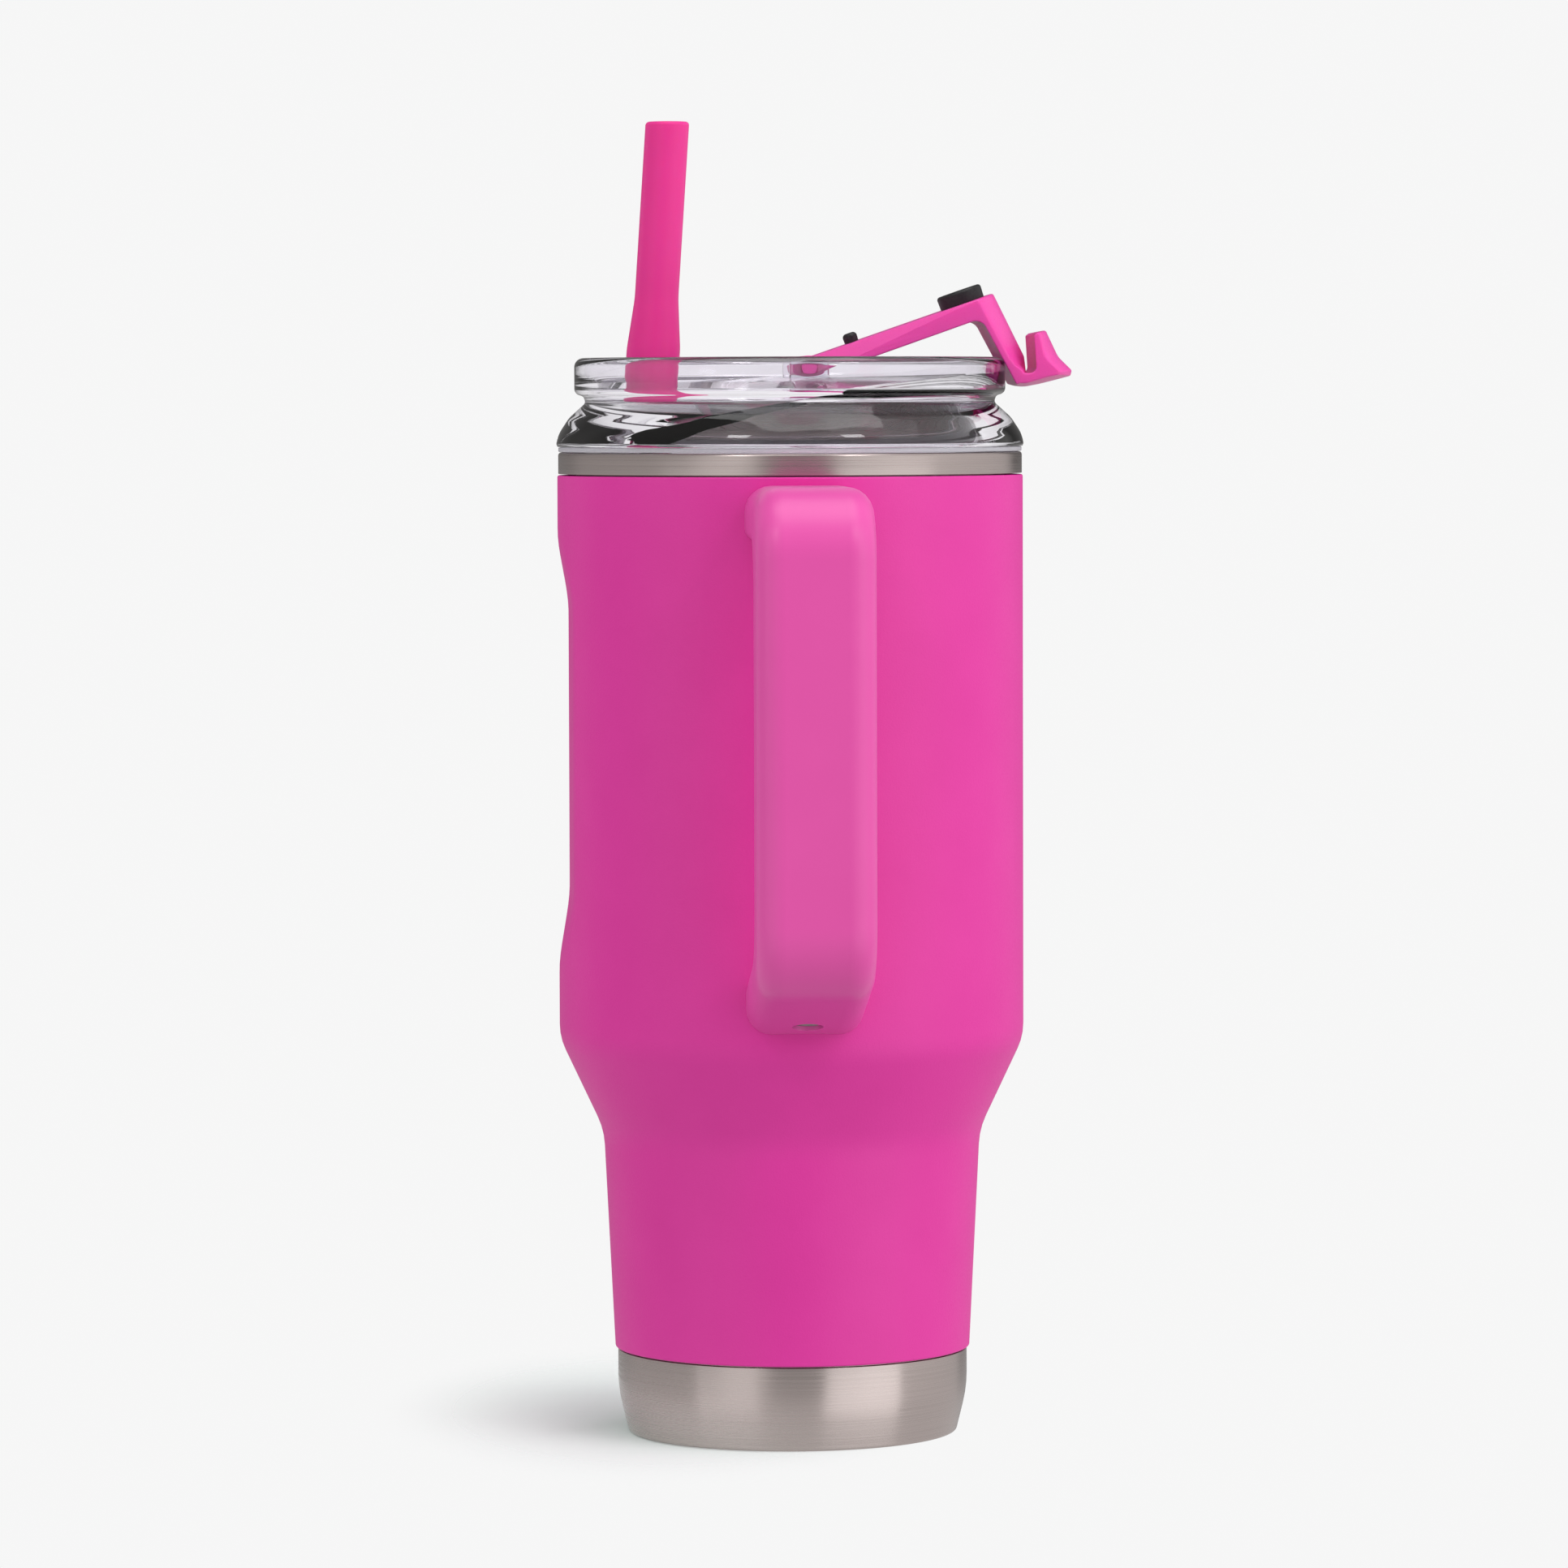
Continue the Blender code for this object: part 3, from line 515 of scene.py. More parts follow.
def rod(name, start, end, radius):
    first = Vector(start)
    run = Vector(end) - first
    work = bmesh.new()
    bmesh.ops.create_cone(
        work, cap_ends=True, segments=SMALL, radius1=radius * MM, radius2=radius * MM,
        depth=run.length * MM)
    turn = run.to_track_quat("Z", "Y").to_matrix().to_4x4()
    bmesh.ops.transform(
        work, matrix=Matrix.Translation((first + run / 2) * MM) @ turn, verts=work.verts)
    mesh = bpy.data.meshes.new(name)
    work.to_mesh(mesh)
    work.free()
    return new_object(name, mesh)


def block(name, low, high):
    work = bmesh.new()
    bmesh.ops.create_cube(work, size=1.0)
    bmesh.ops.scale(work, vec=(Vector(high) - Vector(low)) * MM, verts=work.verts)
    bmesh.ops.translate(work, vec=(Vector(high) + Vector(low)) / 2 * MM, verts=work.verts)
    mesh = bpy.data.meshes.new(name)
    work.to_mesh(mesh)
    work.free()
    return new_object(name, mesh)


def combined(target, others, operation="DIFFERENCE"):
    """The target cut or joined by other objects, which are used up."""
    for other in others:
        modifier = target.modifiers.new(operation.lower(), "BOOLEAN")
        modifier.operation = operation
        modifier.solver = "EXACT"
        modifier.object = other
    made = settled(target)
    for other in others:
        bpy.data.objects.remove(other, do_unlink=True)
    smooth(made)
    return made


def finished(piece, body, slot, *nodes):
    """Put a piece on its body in place of CAD nodes."""
    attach(piece, body)
    if nodes:
        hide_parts(*nodes)


# ---------------------------------------------------------------- vessel

def taper_r(z):
    slope = (TAPER_BOTTOM_R - COAT_BOTTOM_R) / (TAPER_BOTTOM_Z - COAT_BOTTOM_Z)
    return COAT_BOTTOM_R + slope * (z - COAT_BOTTOM_Z)


def side_line(top_z, bottom_z):
    return [
        (BODY_R, top_z, 0),
        (BODY_R, TAPER_TOP_Z, 13),
        (TAPER_BOTTOM_R, TAPER_BOTTOM_Z, 17),
        (taper_r(bottom_z), bottom_z, 0),
    ]


def panel_depth(z):
    nearest_end = min(PANEL_TOP_Z - z, z - PANEL_BOTTOM_Z)
    part = min(max(nearest_end / PANEL_RUN_IN, 0.0), 1.0)
    return PANEL_DEPTH * part * part * (3 - 2 * part)


def press_panel(shell):
    """Flatten the -X side of both faces of the sheet, with a soft blend along the flat."""
    for vertex in shell.data.vertices:
        depth = panel_depth(vertex.co.z / MM)
        if depth == 0 or vertex.co.x > -BODY_R * MM * 0.8:
            continue
        flat = depth - BODY_R
        if vertex.co.xy.length / MM < BODY_R - SHEET / 2:
            flat += SHEET
        here = vertex.co.x / MM
        blend = min(PANEL_EDGE, depth)
        lift = max(blend - abs(here - flat), 0.0)
        vertex.co.x = (max(here, flat) + lift * lift / (4 * blend)) * MM


def coat_shell():
    """Painted skin: its coat ends in soft rolled edges at top and bottom."""
    side = side_line(COAT_TOP_Z, COAT_BOTTOM_Z)
    edge = 0.45
    top = [(BODY_R - SHEET, COAT_TOP_Z, 0), (BODY_R, COAT_TOP_Z, edge)]
    rows = 48
    span = PANEL_TOP_Z - PANEL_BOTTOM_Z
    panel_rows = [(BODY_R, PANEL_TOP_Z - span * k / rows, 0) for k in range(rows + 1)]
    bottom = [(side[3][0], COAT_BOTTOM_Z, edge), (side[3][0] - SHEET, COAT_BOTTOM_Z, 0)]
    inner = inset(side, SHEET)
    outer = top + panel_rows + side[1:3] + bottom
    back = [(inner[2][0], inner[2][1], 0), (inner[1][0], inner[1][1], 0)]
    back += [(BODY_R - SHEET, z, 0) for _, z, _ in panel_rows[::-1]]
    shell = turned("coat_shell", outer + back, COAT, steps=360, closed=True)
    press_panel(shell)
    smooth(shell)
    finished(shell, "vessel", "powder_coat", "outer_shell")


def liner_line(sheets):
    side = side_line(COAT_TOP_Z, CUP_FLOOR_Z)
    upper = inset(side, sheets * SHEET + UPPER_VACUUM)
    lower = inset(side, sheets * SHEET + LOWER_VACUUM)
    return upper[:2] + lower[2:]


def steel_liner():
    outside = liner_line(1)
    inside = liner_line(2)
    bore = inside[0][0]
    under = CUP_FLOOR_Z - SHEET
    skirt_z = COAT_TOP_Z + GAP
    corners = [(0, CUP_FLOOR_Z, 0), (inside[-1][0], CUP_FLOOR_Z, 6)]
    corners += [inside[2], inside[1]]
    corners += [
        (bore, RIM_Z, 0.9), (RIM_R, RIM_Z, 0.7),
        (RIM_R, skirt_z, 0.1), (RIM_R - SHEET, skirt_z, 0.1),
        (RIM_R - SHEET, RIM_Z - SHEET, 0.3), (bore + SHEET, RIM_Z - SHEET, 0.3),
    ]
    corners += [outside[1], outside[2], (outside[-1][0], under, 6.7), (0, under, 0)]
    liner = turned("steel_liner", corners, STEEL)
    finished(liner, "vessel", "stainless", "inner_liner")


def steel_foot():
    outside = [
        (BASE_R, COAT_BOTTOM_Z - GAP, 0), (BASE_R + 0.02, BASE_BELLY_Z, 28), (BASE_FOOT_R, 0, 0),
    ]
    inside = inset(outside, BASE_SHEET)
    collar_r = COAT_BOTTOM_R - SHEET - GAP
    recess_r = 15.6
    recess_z = 2.6
    hole_r = 1.5
    plate_z = recess_z + BASE_SHEET
    corners = [
        (collar_r - BASE_SHEET, BASE_HIGH.z, 0.2), (collar_r, BASE_HIGH.z, 0.2),
        (collar_r, COAT_BOTTOM_Z - GAP, 0.2), (BASE_R, COAT_BOTTOM_Z - GAP, 0.15), outside[1],
        (BASE_FOOT_R, 0, 0.8), (recess_r, 0, 0.4), (recess_r, recess_z, 0.3),
        (hole_r, recess_z, 0), (hole_r, plate_z, 0), (recess_r + BASE_SHEET, plate_z, 0.6),
        (recess_r + BASE_SHEET, BASE_SHEET, 0), (inside[2][0], BASE_SHEET, 0), inside[1],
    ]
    foot = turned("steel_foot", corners, STEEL, closed=True)
    finished(foot, "vessel", "stainless", "base_cup")
    high = node_box("base_cover")[1]
    disc = turned("foot_disc", [
        (0, high.z, 0), (high.x, high.z, 0.2), (high.x, 0, 0.35), (0, 0, 0),
    ], STEEL, MEDIUM)
    finished(disc, "vessel", "stainless_plain", "base_cover")


def leg_rise(out):
    """How much higher the sloping lower leg is at this distance than at the body."""
    return (out - BODY_R) * LOWER_LEG_SLOPE


def handle_outline():
    """Outline outwards from the body (out, z), and how strongly each point's rim is rounded."""
    root = HANDLE_ROOT_R
    leg_top_z = HANDLE_FOOT_Z + LOWER_LEG_THICK
    points = rounded([
        (root, HANDLE_TOP_Z, 0), (GRIP_OUT, HANDLE_TOP_Z, 15),
        (GRIP_OUT, HANDLE_FOOT_Z + leg_rise(GRIP_OUT), 17),
        (root, HANDLE_FOOT_Z + leg_rise(root), 0), (root, leg_top_z + leg_rise(root), 0),
        (GRIP_IN, leg_top_z + leg_rise(GRIP_IN), 9),
        (GRIP_IN, LEG_UNDERSIDE_Z, 9), (root, LEG_UNDERSIDE_Z, 0),
    ], closed=True)
    weights = []
    for out, z in points:
        between_legs = leg_top_z + leg_rise(out) - 0.1 < z < LEG_UNDERSIDE_Z + 0.1
        weights.append(INNER_EDGE if between_legs and out < GRIP_IN + 0.1 else 1.0)
    return points, weights


def side_handle():
    points, weights = handle_outline()
    middle_z = (LEG_UNDERSIDE_Z + HANDLE_FOOT_Z) / 2

    def place(out, z, offset):
        wall = math.sqrt((BODY_R + 0.05) ** 2 - offset ** 2)
        if out < wall and z < middle_z:
            z += (wall - out) * LOWER_LEG_SLOPE
        return (offset, -max(out, wall), z)
    handle = moulding(
        "side_handle", points, HANDLE_HALF, HANDLE_EDGE, place, HANDLE_PINK, 24, weights)
    axis = (0, -SCREW_OUT)
    cutters = [
        rod("cut_recess", (*axis, 80), (*axis, SCREW_SEAT_Z), SCREW_RECESS_R),
        rod("cut_clearance", (*axis, 95), (*axis, 99), SCREW_HOLE_R),
    ]
    for tongue_z, foot_z, head_z, room in BRACKETS:
        cutters.append(block(
            "cut_plate", (-BRACKET_HALF, -PLATE_OUT, foot_z - GAP),
            (BRACKET_HALF, -PLATE_IN, head_z + GAP)))
        cutters.append(block(
            "cut_tongue", (-BRACKET_HALF, -TONGUE_OUT, tongue_z - GAP),
            (BRACKET_HALF, -TONGUE_IN, tongue_z + BRACKET_SHEET + room)))
    handle = combined(handle, cutters)
    finished(handle, "vessel", "handle_plastic", "handle")


def recessed_screw():
    low, high = SCREW_LOW, SCREW_HIGH
    head_r = (high.x - low.x) / 2
    shank_r = 1.3
    seat_z = low.z + 1.7
    # The head takes the darkened screw steel: painted shade of a deeper recess
    screw = turned("recessed_screw", [
        (0, high.z, 0), (shank_r, high.z, 0.2), (shank_r, seat_z, 0), (head_r, seat_z, 0.2),
        (head_r, low.z, 0.7), (0, low.z, 0),
    ], SHADED_SCREW_STEEL, SMALL)
    long, short, foot, head = 1.6, 0.35, low.z - 1, low.z + 0.9      # arms of the cross
    cutters = [
        block("drive_a", (-long, -short, foot), (long, short, head)),
        block("drive_b", (-short, -long, foot), (short, long, head)),
    ]
    screw = combined(screw, cutters)
    screw.location.y = -SCREW_OUT * MM
    finished(screw, "vessel", "stainless_plain", "handle_screw")


# ---------------------------------------------------------------- lid

def floor_line(drop, left, right):
    """Floor of the lid's well from left to right, lowered by drop."""
    def ramp(x):
        return STRAW_FLOOR_Z + (x - STRAW_X) * FLOOR_SLOPE
    far_slope = (FLOOR_FAR_Z - ramp(FLOOR_BREAK_X)) / (FLOOR_FAR_X - FLOOR_BREAK_X)
    return [
        (left, ramp(left) - drop, 0), (FLOOR_BREAK_X, ramp(FLOOR_BREAK_X) - drop, 25),
        (right, FLOOR_FAR_Z + (right - FLOOR_FAR_X) * far_slope - drop, 0),
    ]


def prism(name, outline, half):
    """A straight extrusion across Y."""
    def place(a, b, offset):
        return (a, offset, b)
    return moulding(name, outline, half, 0.01, place)


def well_r(z):
    return RING_R - RING_WALL - WELL_CONE_SLOPE * max(WELL_CONE_Z - z, 0.0)


def lid_cutters():
    """The well above the lid's floor and the hollow below it."""
    low_z, top_z = 208.0, 240.0
    well = turned("well", [
        (0, top_z, 0), (well_r(top_z), top_z, 0), (well_r(top_z), WELL_CONE_Z, 6),
        (well_r(low_z), low_z, 0), (0, low_z, 0),
    ])
    side = PAST_LID
    above = rounded(floor_line(0.0, -side, side)) + [Vector((side, 250)), Vector((-side, 250))]
    well = combined(well, [prism("above", above, side + 5)], "INTERSECT")
    upper_r, lower_r, low_z, top_z = 42.2, 42.9, 200.0, 245.0
    pocket = turned("pocket", [
        (0, top_z, 0), (upper_r, top_z, 0), (upper_r, 224.5, 20), (lower_r, 217.5, 20),
        (lower_r, low_z, 0), (0, low_z, 0),
    ])
    side = PAST_LID + 1
    below = [Vector((-side, 190)), Vector((side, 190))]
    below += rounded(floor_line(FLOOR_THICK, -side, side))[::-1]
    pocket = combined(pocket, [prism("below", below, side + 5)], "INTERSECT")
    return [well, pocket]


def hinge_ears():
    """Two ears that stand on the sloping floor and carry the cover's trunnions."""
    half = 4.25
    top = RING_Z - 0.3
    top_r = 3.2
    outline = rounded([
        (HINGE_X - half, 226.4, 0), (HINGE_X + half, 227.4, 0),
        (HINGE_X + half, top, top_r), (HINGE_X - half, top, top_r),
    ], closed=True)
    ears = []
    for side in (-1, 1):
        middle = side * (COVER_HALF + EAR_GAP + EAR_HALF_THICK)

        def place(a, b, offset, middle=middle):
            return (a, middle + offset, b)
        ears.append(moulding("ear", outline, EAR_HALF_THICK, 0.3, place))
    return ears


def clear_lid():
    edge = 0.25
    plug = [
        (PLUG_R, FLANGE_Z, edge), (PLUG_R, GROOVE_TOP_Z, edge), (GROOVE_R, GROOVE_TOP_Z, edge),
        (GROOVE_R, GROOVE_FOOT_Z, edge), (PLUG_R, GROOVE_FOOT_Z, edge), (PLUG_R, PLUG_FOOT_Z, 0.8),
    ]
    profile = [(0, RING_Z, 0)] + LID_OUTSIDE + plug + [(0, PLUG_FOOT_Z, 0)]
    lid = turned("clear_lid", profile, CLEAR)
    lid = combined(lid, lid_cutters())
    lid = combined(lid, hinge_ears(), "UNION")
    cutters = [
        rod("pin_hole", (HINGE_X, -18, HINGE_Z), (HINGE_X, 18, HINGE_Z), TRUNNION_R + GAP),
        rod("straw_hole", (STRAW_X, 0, 200), (STRAW_X, 0, 230), STRAW_HOLE_R),
        rod("vent_hole", (VENT_X, 0, 210), (VENT_X, 0, 230), VENT_HOLE_R),
    ]
    lid = combined(lid, cutters)
    finished(lid, "lid", "clear_plastic", "lid_body")


def lid_seals():
    fin_r = GASKET_HIGH.x
    back_r = GROOVE_R + GAP
    web_r = GROOVE_R + 1.3
    top, foot = GASKET_HIGH.z, GASKET_LOW.z
    # the profile runs down over three fins
    gasket = turned("finned_gasket", [
        (back_r, top, 0.2), (web_r, top, 0.2), (fin_r, 212.4, 0.2), (web_r, 211.5, 0.2),
        (web_r, 210.6, 0.2), (fin_r, 210.1, 0.2), (web_r, 209.2, 0.2), (web_r, 208.6, 0.1),
        (fin_r, 208.2, 0.2), (web_r, foot, 0.1), (back_r, foot, 0.2),
    ], SEAL, closed=True)
    finished(gasket, "lid", "seal_silicone", "lid_gasket")
    inner_r = 47.4
    top, foot = SEAL_HIGH.z + GAP / 2, SEAL_LOW.z - GAP / 2
    band = turned("pale_rim_seal", [
        (inner_r, top, 0.2), (SEAL_HIGH.x, top, 0.25),
        (SEAL_HIGH.x, foot, 0.25), (inner_r, foot, 0.2),
    ], SEAL, closed=True)
    finished(band, "lid", "seal_silicone", "rim_seal")
    bore_r, outer_r = GROMMET_BORE_R, STRAW_HOLE_R - 0.05
    sleeve = turned("soft_grommet", [
        (bore_r, 225, 0), (outer_r, 225, 0), (outer_r, 205, 0), (bore_r, 205, 0),
    ], SEAL, MEDIUM, closed=True)
    sleeve.location.x = STRAW_X * MM
    slice_line = rounded(floor_line(FLOOR_THICK, -PAST_LID, PAST_LID))
    slice_line += rounded(floor_line(0.0, -PAST_LID, PAST_LID))[::-1]
    sleeve = combined(sleeve, [prism("slice", slice_line, 20)], "INTERSECT")
    finished(sleeve, "lid", "seal_silicone", "straw_grommet")


# ---------------------------------------------------------------- flip cover

def swing_open(piece):
    """Turn a piece drawn shut about the hinge into its open rest place."""
    turn = Matrix.Rotation(CLOSING_ANGLE, 4, "Y")
    piece.data.transform(Matrix.Translation((HINGE_X * MM, 0, HINGE_Z * MM)) @ turn)
    return piece


def under_point(x, out):
    """Point on the arm's underside at x, and out from it along its normal."""
    z = UNDER_Z + x * UNDER_SLOPE
    return (x + out * math.sin(UNDER_ANGLE), 0.0, z - out * math.cos(UNDER_ANGLE))


# Corners (x, z, radius, and how far a corner moves in x and z at the cover's two sides)
COVER_CORNERS = [
    (-39.95, -9.40, 2.6, 1.5, 0.42),      # arm's top meets the flange
    (-45.90, 6.20, 0.6, 0.9, -0.5),
    (-47.60, 6.50, 6.0, 0.8, -0.8),       # top of the bridge over the ring
    (-51.05, 6.07, 6.0, 2.0, -0.85),
    (-54.68, 5.42, 6.0, 3.0, -0.8),
    (-58.05, 4.75, 0.6, 3.6, -0.5),
    (-58.40, 3.55, 0.6, 3.6, 0.0),        # finger lever
    (-55.60, 0.45, 5.0, 3.6, 0.0),
    (-53.15, -5.60, 0.6, 2.4, 0.4),
    (-50.95, -5.15, 0.6, 1.3, 0.35),      # slot for the ring
    (-50.95, 3.50, 1.4, 1.3, 0.0),
    (-48.20, 3.50, 0.5, 1.4, 0.0),
    (-48.20, 1.40, 2.0, 3.2, 0.0),
    (-48.10, -0.20, 0.8, 4.2, 0.0),       # flange's outer face
    (-42.15, -14.40, 0.6, 4.2, 1.16),
]
SPOUT_PLUG = {
    "x": -35.4, "radius": 5.05, "height": 3.0, "edge": 0.7, "stem_r": 2.0, "stem_depth": 2.6,
}
VENT_PLUG = {
    "x": -10.56, "radius": 1.65, "height": 2.15, "edge": 0.9, "stem_r": 1.0, "stem_depth": 2.0,
}


def cover_outline():
    """Points round the shut cover, about the hinge, each with its side drift and facet height."""
    steps = 28
    knuckle = []
    for step in range(steps + 1):
        angle = KNUCKLE_START + (KNUCKLE_END - KNUCKLE_START) * step / steps
        knuckle.append(Vector((KNUCKLE_R * math.cos(angle), KNUCKLE_R * math.sin(angle))))
    points = list(knuckle)
    drifts = [Vector((0, 0))] * len(points)
    line = [(*knuckle[-1], 0)] + [corner[:3] for corner in COVER_CORNERS] + [(*knuckle[0], 0)]
    for index, corner in enumerate(COVER_CORNERS):
        arc = rounded(line[index:index + 3])[1:-1]
        points += arc
        drifts += [Vector(corner[3:])] * len(arc)
    heights = [0.0] * len(points)
    tip, hip = points[-1], knuckle[0]
    tip_drift = drifts[-1]
    pieces = 40
    for piece in range(1, pieces + 1):
        share = piece / pieces
        point = tip.lerp(hip, share)
        if piece < pieces:
            points.append(point)
            drifts.append(tip_drift * (1 - share))
            heights.append(max(FACET_RISE * (point.x - FACET_START_X), 0.0))
    heights[0] = FACET_RISE * (hip.x - FACET_START_X)
    return points, drifts, heights


def facet_place(height, offset):
    """Across and upward place of an underside point, on a facet as tall as height."""
    inner = COVER_HALF - COVER_EDGE
    crease = COVER_HALF - FACET_TILT * height
    if abs(offset) <= inner:
        return offset * crease / inner, 0.0
    share = (abs(offset) - inner) / COVER_EDGE
    return math.copysign(crease + (COVER_HALF - crease) * share, offset), height * share


def cover_ring(outline, offset, share):
    """The cover's outline at one place across it."""
    points, drifts, heights, shifts = outline
    ring = []
    for point, drift, height, shift in zip(points, drifts, heights, shifts):
        moved = point + shift * COVER_EDGE * share
        across = offset
        if height > 0:
            facet = min(height / FACET_FULL, 1.0)
            facet_y, rise = facet_place(height, offset)
            moved = moved.lerp(point, facet) + Vector((0, rise))
            across = offset + (facet_y - offset) * facet
        moved = moved + drift * (across / COVER_HALF) ** 2
        ring.append((moved.x, across, moved.y))
    return ring


def pink_cover():
    points, drifts, heights = cover_outline()
    outline = (points, drifts, heights, inward_shifts(points))
    slices = edge_slices(COVER_HALF, COVER_EDGE, 20)
    rings = [cover_ring(outline, offset, share) for offset, share in slices]
    cover = skinned("pink_cover", rings, COVER_PINK, 28)
    reach = COVER_HALF + EAR_GAP + TRUNNION_REACH
    trunnions = rod("trunnions", (0, -reach, 0), (0, reach, 0), TRUNNION_R)
    cover = combined(cover, [trunnions], "UNION")
    stem_holes = []
    for plug in (SPOUT_PLUG, VENT_PLUG):
        start = under_point(plug["x"], 1.0)
        end = under_point(plug["x"], -plug["stem_depth"] - GAP)
        stem_holes.append(rod("stem_hole", start, end, plug["stem_r"] + GAP))
    cover = combined(cover, stem_holes)
    finished(swing_open(cover), "cover", "cover_plastic", "flip_cover")


def black_plug(name, node, size):
    radius, stem_r = size["radius"], size["stem_r"]
    depth, height = size["stem_depth"], size["height"]
    plug = turned(name, [
        (0, depth, 0), (stem_r, depth, 0.2), (stem_r, -0.05, 0), (radius - 0.1, -0.05, 0),
        (radius, -height, size["edge"]), (0, -height, 0),
    ], BLACK, SMALL)
    turn = Matrix.Rotation(-UNDER_ANGLE, 4, "Y")
    place = Vector(under_point(size["x"], 0.0)) * MM
    plug.data.transform(Matrix.Translation(place) @ turn)
    finished(swing_open(plug), "cover", "black_silicone", node)


# ---------------------------------------------------------------- straw

def soft_mouthpiece():
    collar_z = STRAW_FLOOR_Z + COLLAR_R * FLOOR_SLOPE + GAP
    grip_r = TUBE_R + 0.05
    skirt_r = 4.9
    bore_r = 3.1
    top_of_tube = TUBE_HIGH.z + GAP
    tip = turned("soft_mouthpiece", [
        (bore_r, TIP_Z, 0.5), (TIP_R, TIP_Z, 0.8), (TIP_R, TIP_FOOT_Z, 30),
        (COLLAR_R, COLLAR_TOP_Z, 22), (COLLAR_R, collar_z, 0.3), (skirt_r, collar_z, 0.2),
        (skirt_r, TIP_LOW.z, 0.3), (grip_r, TIP_LOW.z, 0.2), (grip_r, top_of_tube, 0),
        (bore_r, top_of_tube, 0.2),
    ], STRAW_PINK, MEDIUM, closed=True)
    for vertex in tip.data.vertices:
        height = vertex.co.z / MM - STRAW_FLOOR_Z
        vertex.co.x += (STRAW_X + max(height, 0.0) * TIP_LEAN) * MM
    finished(tip, "straw", "straw_silicone", "straw_mouthpiece")
    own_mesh(tip)


def stiff_tube():
    tube = turned("stiff_tube", [
        (TUBE_BORE_R, TUBE_HIGH.z, 0.2), (TUBE_R, TUBE_HIGH.z, 0.2),
        (TUBE_R, TUBE_LOW.z, 0.2), (TUBE_BORE_R, TUBE_LOW.z, 0.2),
    ], TUBE_PINK, SMALL, closed=True)
    tube.location.x = STRAW_X * MM
    finished(tube, "straw", "straw_plastic", "straw_tube")


def dress_hidden_nodes():
    """CAD nodes that stay as they are get their own node materials."""
    looks = {
        "handle_bracket_upper": PLAIN_STEEL, "handle_bracket_lower": PLAIN_STEEL,
        "handle_nut": PLAIN_STEEL, "getter_holder": PLAIN_STEEL,
        "getter_pellet": GREY, "vacuum_seal_bead": GREY,
    }
    for name, look in looks.items():
        node = frame["nodes"][name]
        node.data.materials.clear()
        node.data.materials.append(look)


# ---------------------------------------------------------------- stage

def pale_floor():
    """Pale ground that fades into the backdrop's colour away from the object."""
    bpy.ops.mesh.primitive_circle_add(vertices=96, radius=3.0, fill_type="NGON")
    floor = bpy.context.object
    floor.name = "pale_floor"
    floor.location.z = -0.0002
    made = Nodes("pale_floor", Roughness=0.9, Base_Color=(0.79, 0.885, 0.86, 1.0))
    place = made.add("ShaderNodeTexCoord")
    shift = made.add("ShaderNodeMapping", Location=(0.028, -0.018, 0.0), Scale=(1.0, 0.55, 1.0))
    length = made.add("ShaderNodeVectorMath", operation="LENGTH")
    fade = made.add(
        "ShaderNodeMapRange", interpolation_type="SMOOTHSTEP", From_Min=0.012, From_Max=0.065)
    clear = made.add("ShaderNodeBsdfTransparent")
    mix = made.add("ShaderNodeMixShader")
    made.link(place, "Object", shift, "Vector")
    made.link(shift, "Vector", length, "Vector")
    made.link(length, "Value", fade, "Value")
    made.link(fade, "Result", mix, 0)
    made.link(made.shader, "BSDF", mix, 1)
    made.link(clear, "BSDF", mix, 2)
    made.link(mix, "Shader", made.tree.nodes["Material Output"], "Surface")
    floor.data.materials.append(made.material)


# Brightness of the room round the object, by share of a turn from the back anticlockwise
ROOM = [
    (0.00, 0.38), (0.10, 0.42), (0.14, 0.68), (0.34, 0.80), (0.375, 1.40), (0.44, 1.40),
    (0.455, 0.50), (0.54, 0.50), (0.57, 1.00), (0.64, 1.70), (0.72, 1.60), (0.82, 1.35),
    (0.87, 1.10), (0.90, 0.25), (1.00, 0.38),
]
ROOM_COLOUR = (0.45, 0.43875, 0.43425)
GROUND_COLOUR = (0.58, 0.57, 0.565, 1.0)
PALE = (0.925, 0.925, 0.925, 1.0)
PALE_SHARE_INSIDE = 0.16   # how much of the pale light reaches rays that turn inside the plastic


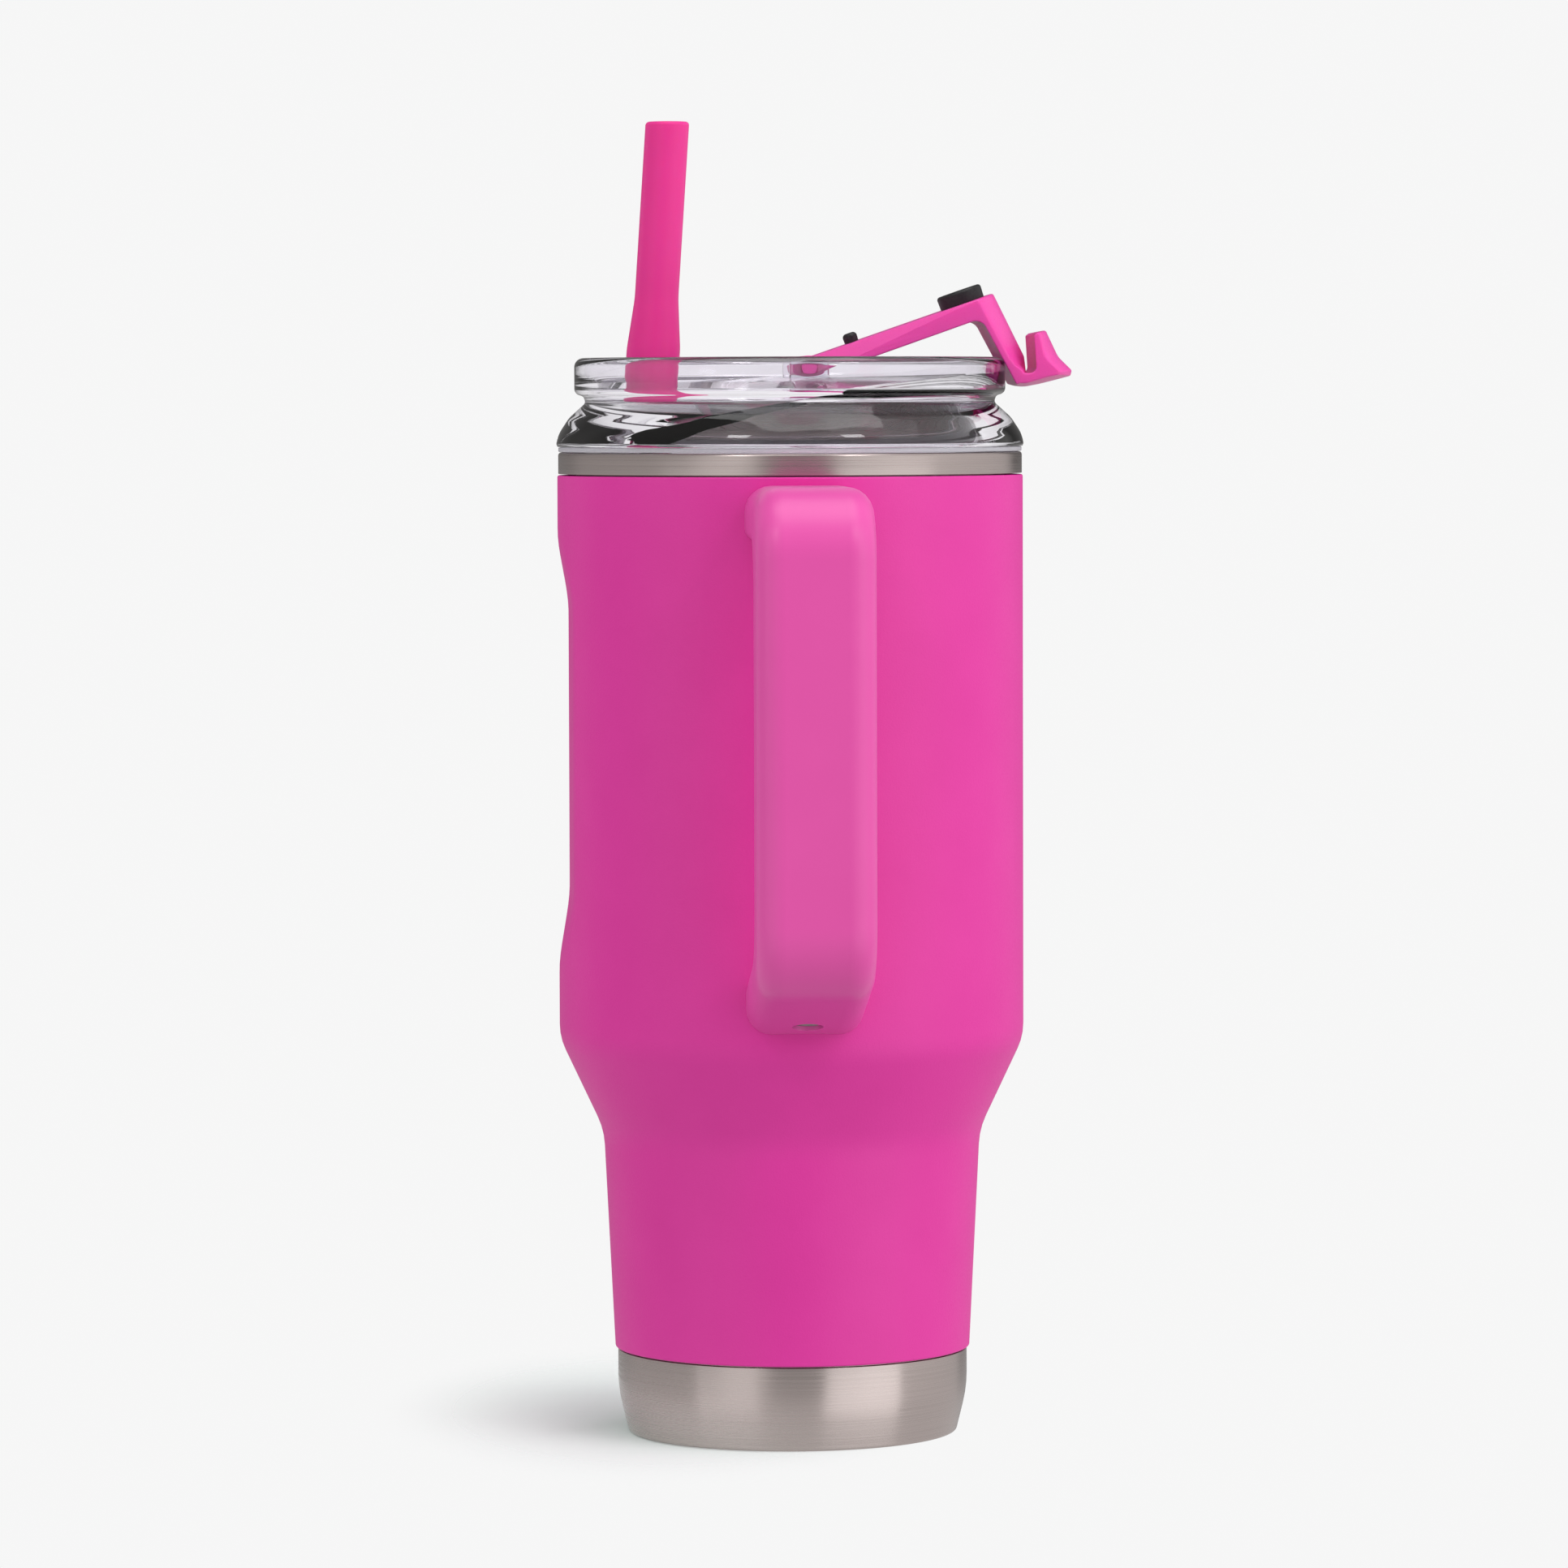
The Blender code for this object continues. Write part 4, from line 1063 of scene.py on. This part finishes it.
def backdrop():
    """Even pale surroundings to look at, and a room with dark gaps as a source of light."""
    world = bpy.data.worlds.new("studio")
    bpy.context.scene.world = world
    world.use_nodes = True
    studio = Tree(world.node_tree)
    place = studio.add("ShaderNodeTexCoord")
    turn = studio.add("ShaderNodeMapping", Rotation=(0.0, 0.0, math.radians(90)))
    around = studio.add("ShaderNodeTexGradient", gradient_type="RADIAL")
    room = studio.add("ShaderNodeValToRGB")
    stops = room.color_ramp.elements
    while len(stops) < len(ROOM):
        stops.new(0.5)
    for stop, (share, level) in zip(stops, ROOM):
        stop.position = share
        stop.color = (*(level * value for value in ROOM_COLOUR), 1.0)
    studio.link(place, "Generated", turn, "Vector")
    studio.link(turn, "Vector", around, "Vector")
    studio.link(around, "Fac", room, "Fac")

    height = studio.add("ShaderNodeSeparateXYZ")
    below = studio.add("ShaderNodeMapRange", From_Min=0.0, From_Max=-0.25)
    surroundings = studio.add("ShaderNodeMix", data_type="RGBA")
    surroundings.inputs[MIX_B].default_value = GROUND_COLOUR
    studio.link(place, "Generated", height, "Vector")
    studio.link(height, "Z", below, "Value")
    studio.link(below, "Result", surroundings, MIX_FACTOR)
    studio.link(room, "Color", surroundings, MIX_A)

    seen = studio.add("ShaderNodeLightPath")
    straight = studio.add("ShaderNodeMath", operation="MAXIMUM")
    inside = studio.add("ShaderNodeMath", operation="MINIMUM")
    inside.inputs[1].default_value = PALE_SHARE_INSIDE
    pale_share = studio.add("ShaderNodeMath", operation="MAXIMUM")
    studio.link(seen, "Is Camera Ray", straight, 0)
    studio.link(seen, "Is Transmission Ray", straight, 1)
    studio.link(seen, "Transmission Depth", inside, 0)
    studio.link(straight, "Value", pale_share, 0)
    studio.link(inside, "Value", pale_share, 1)

    mix = studio.add("ShaderNodeMix", data_type="RGBA")
    mix.inputs[MIX_B].default_value = PALE
    studio.link(pale_share, "Value", mix, MIX_FACTOR)
    studio.link(surroundings, MIX_RESULT, mix, MIX_A)
    studio.link(mix, MIX_RESULT, world.node_tree.nodes["Background"], "Color")


# Name, place in metres, width, height, watts, and whether it shows in mirrors and glass
LIGHTS = [
    ("key_right", (1.5, -1.1, 0.9), 1.0, 1.6, 15.0, False),
    ("side_right", (1.8, -0.2, 0.6), 1.2, 1.8, 4.0, False),
    ("low_right", (1.1, -1.1, -0.35), 1.6, 0.8, 3.0, True),
    ("low_left", (-1.1, -1.0, -0.35), 1.2, 0.8, 1.0, True),
    ("fill_left", (-1.6, -0.7, 0.7), 0.7, 1.4, 9.0, False),
    ("top", (0.1, -0.2, 1.9), 1.4, 1.4, 13.0, True),
    ("high_left", (-0.75, -1.2, 1.35), 0.3, 0.3, 2.5, True),
    ("high_right", (0.75, -1.2, 1.35), 0.3, 0.3, 2.5, True),
    ("rim_right", (1.3, 1.2, 0.6), 0.5, 1.4, 5.0, False),
    ("rim_left", (-1.3, 1.2, 0.6), 0.5, 1.4, 5.0, False),
]
LIGHT_AIM = Vector((0, 0, 0.12))


def studio_lights():
    for name, place, width, height, power, mirrored in LIGHTS:
        light = bpy.data.lights.new(name, "AREA")
        light.shape = "RECTANGLE"
        light.size = width
        light.size_y = height
        light.energy = power
        holder = bpy.data.objects.new(name, light)
        bpy.context.scene.collection.objects.link(holder)
        holder.location = place
        holder.rotation_euler = (LIGHT_AIM - Vector(place)).to_track_quat("-Z", "Y").to_euler()
        holder.visible_glossy = mirrored
        holder.visible_transmission = mirrored


def camera():
    """A long lens, a little above the lid's foot, slightly to the left of the handle."""
    distance = 1.6028
    height = 0.2273
    turned_by = math.radians(3.4)
    aimed_right = math.radians(0.054)
    aimed_down = math.radians(3.03)
    tilted = math.radians(-0.164)
    data = bpy.data.cameras.new("camera")
    data.sensor_width = 36.0
    data.lens = 167.7
    data.clip_start = 0.1
    data.clip_end = 50.0
    holder = bpy.data.objects.new("camera", data)
    bpy.context.scene.collection.objects.link(holder)
    holder.location = (-distance * math.sin(turned_by), -distance * math.cos(turned_by), height)
    yaw = Matrix.Rotation(aimed_right - turned_by, 4, "Z")
    pitch = Matrix.Rotation(math.pi / 2 - aimed_down, 4, "X")
    roll = Matrix.Rotation(tilted, 4, "Z")
    holder.rotation_euler = (yaw @ pitch @ roll).to_euler()
    bpy.context.scene.camera = holder


def build():
    coat_shell()
    steel_liner()
    steel_foot()
    side_handle()
    recessed_screw()
    clear_lid()
    lid_seals()
    pink_cover()
    black_plug("round_plug", "spout_plug", SPOUT_PLUG)
    black_plug("vent_nub", "vent_plug", VENT_PLUG)
    soft_mouthpiece()
    stiff_tube()
    dress_hidden_nodes()
    pale_floor()
    backdrop()
    studio_lights()
    camera()
    bpy.context.scene.view_settings.view_transform = "Standard"


build()
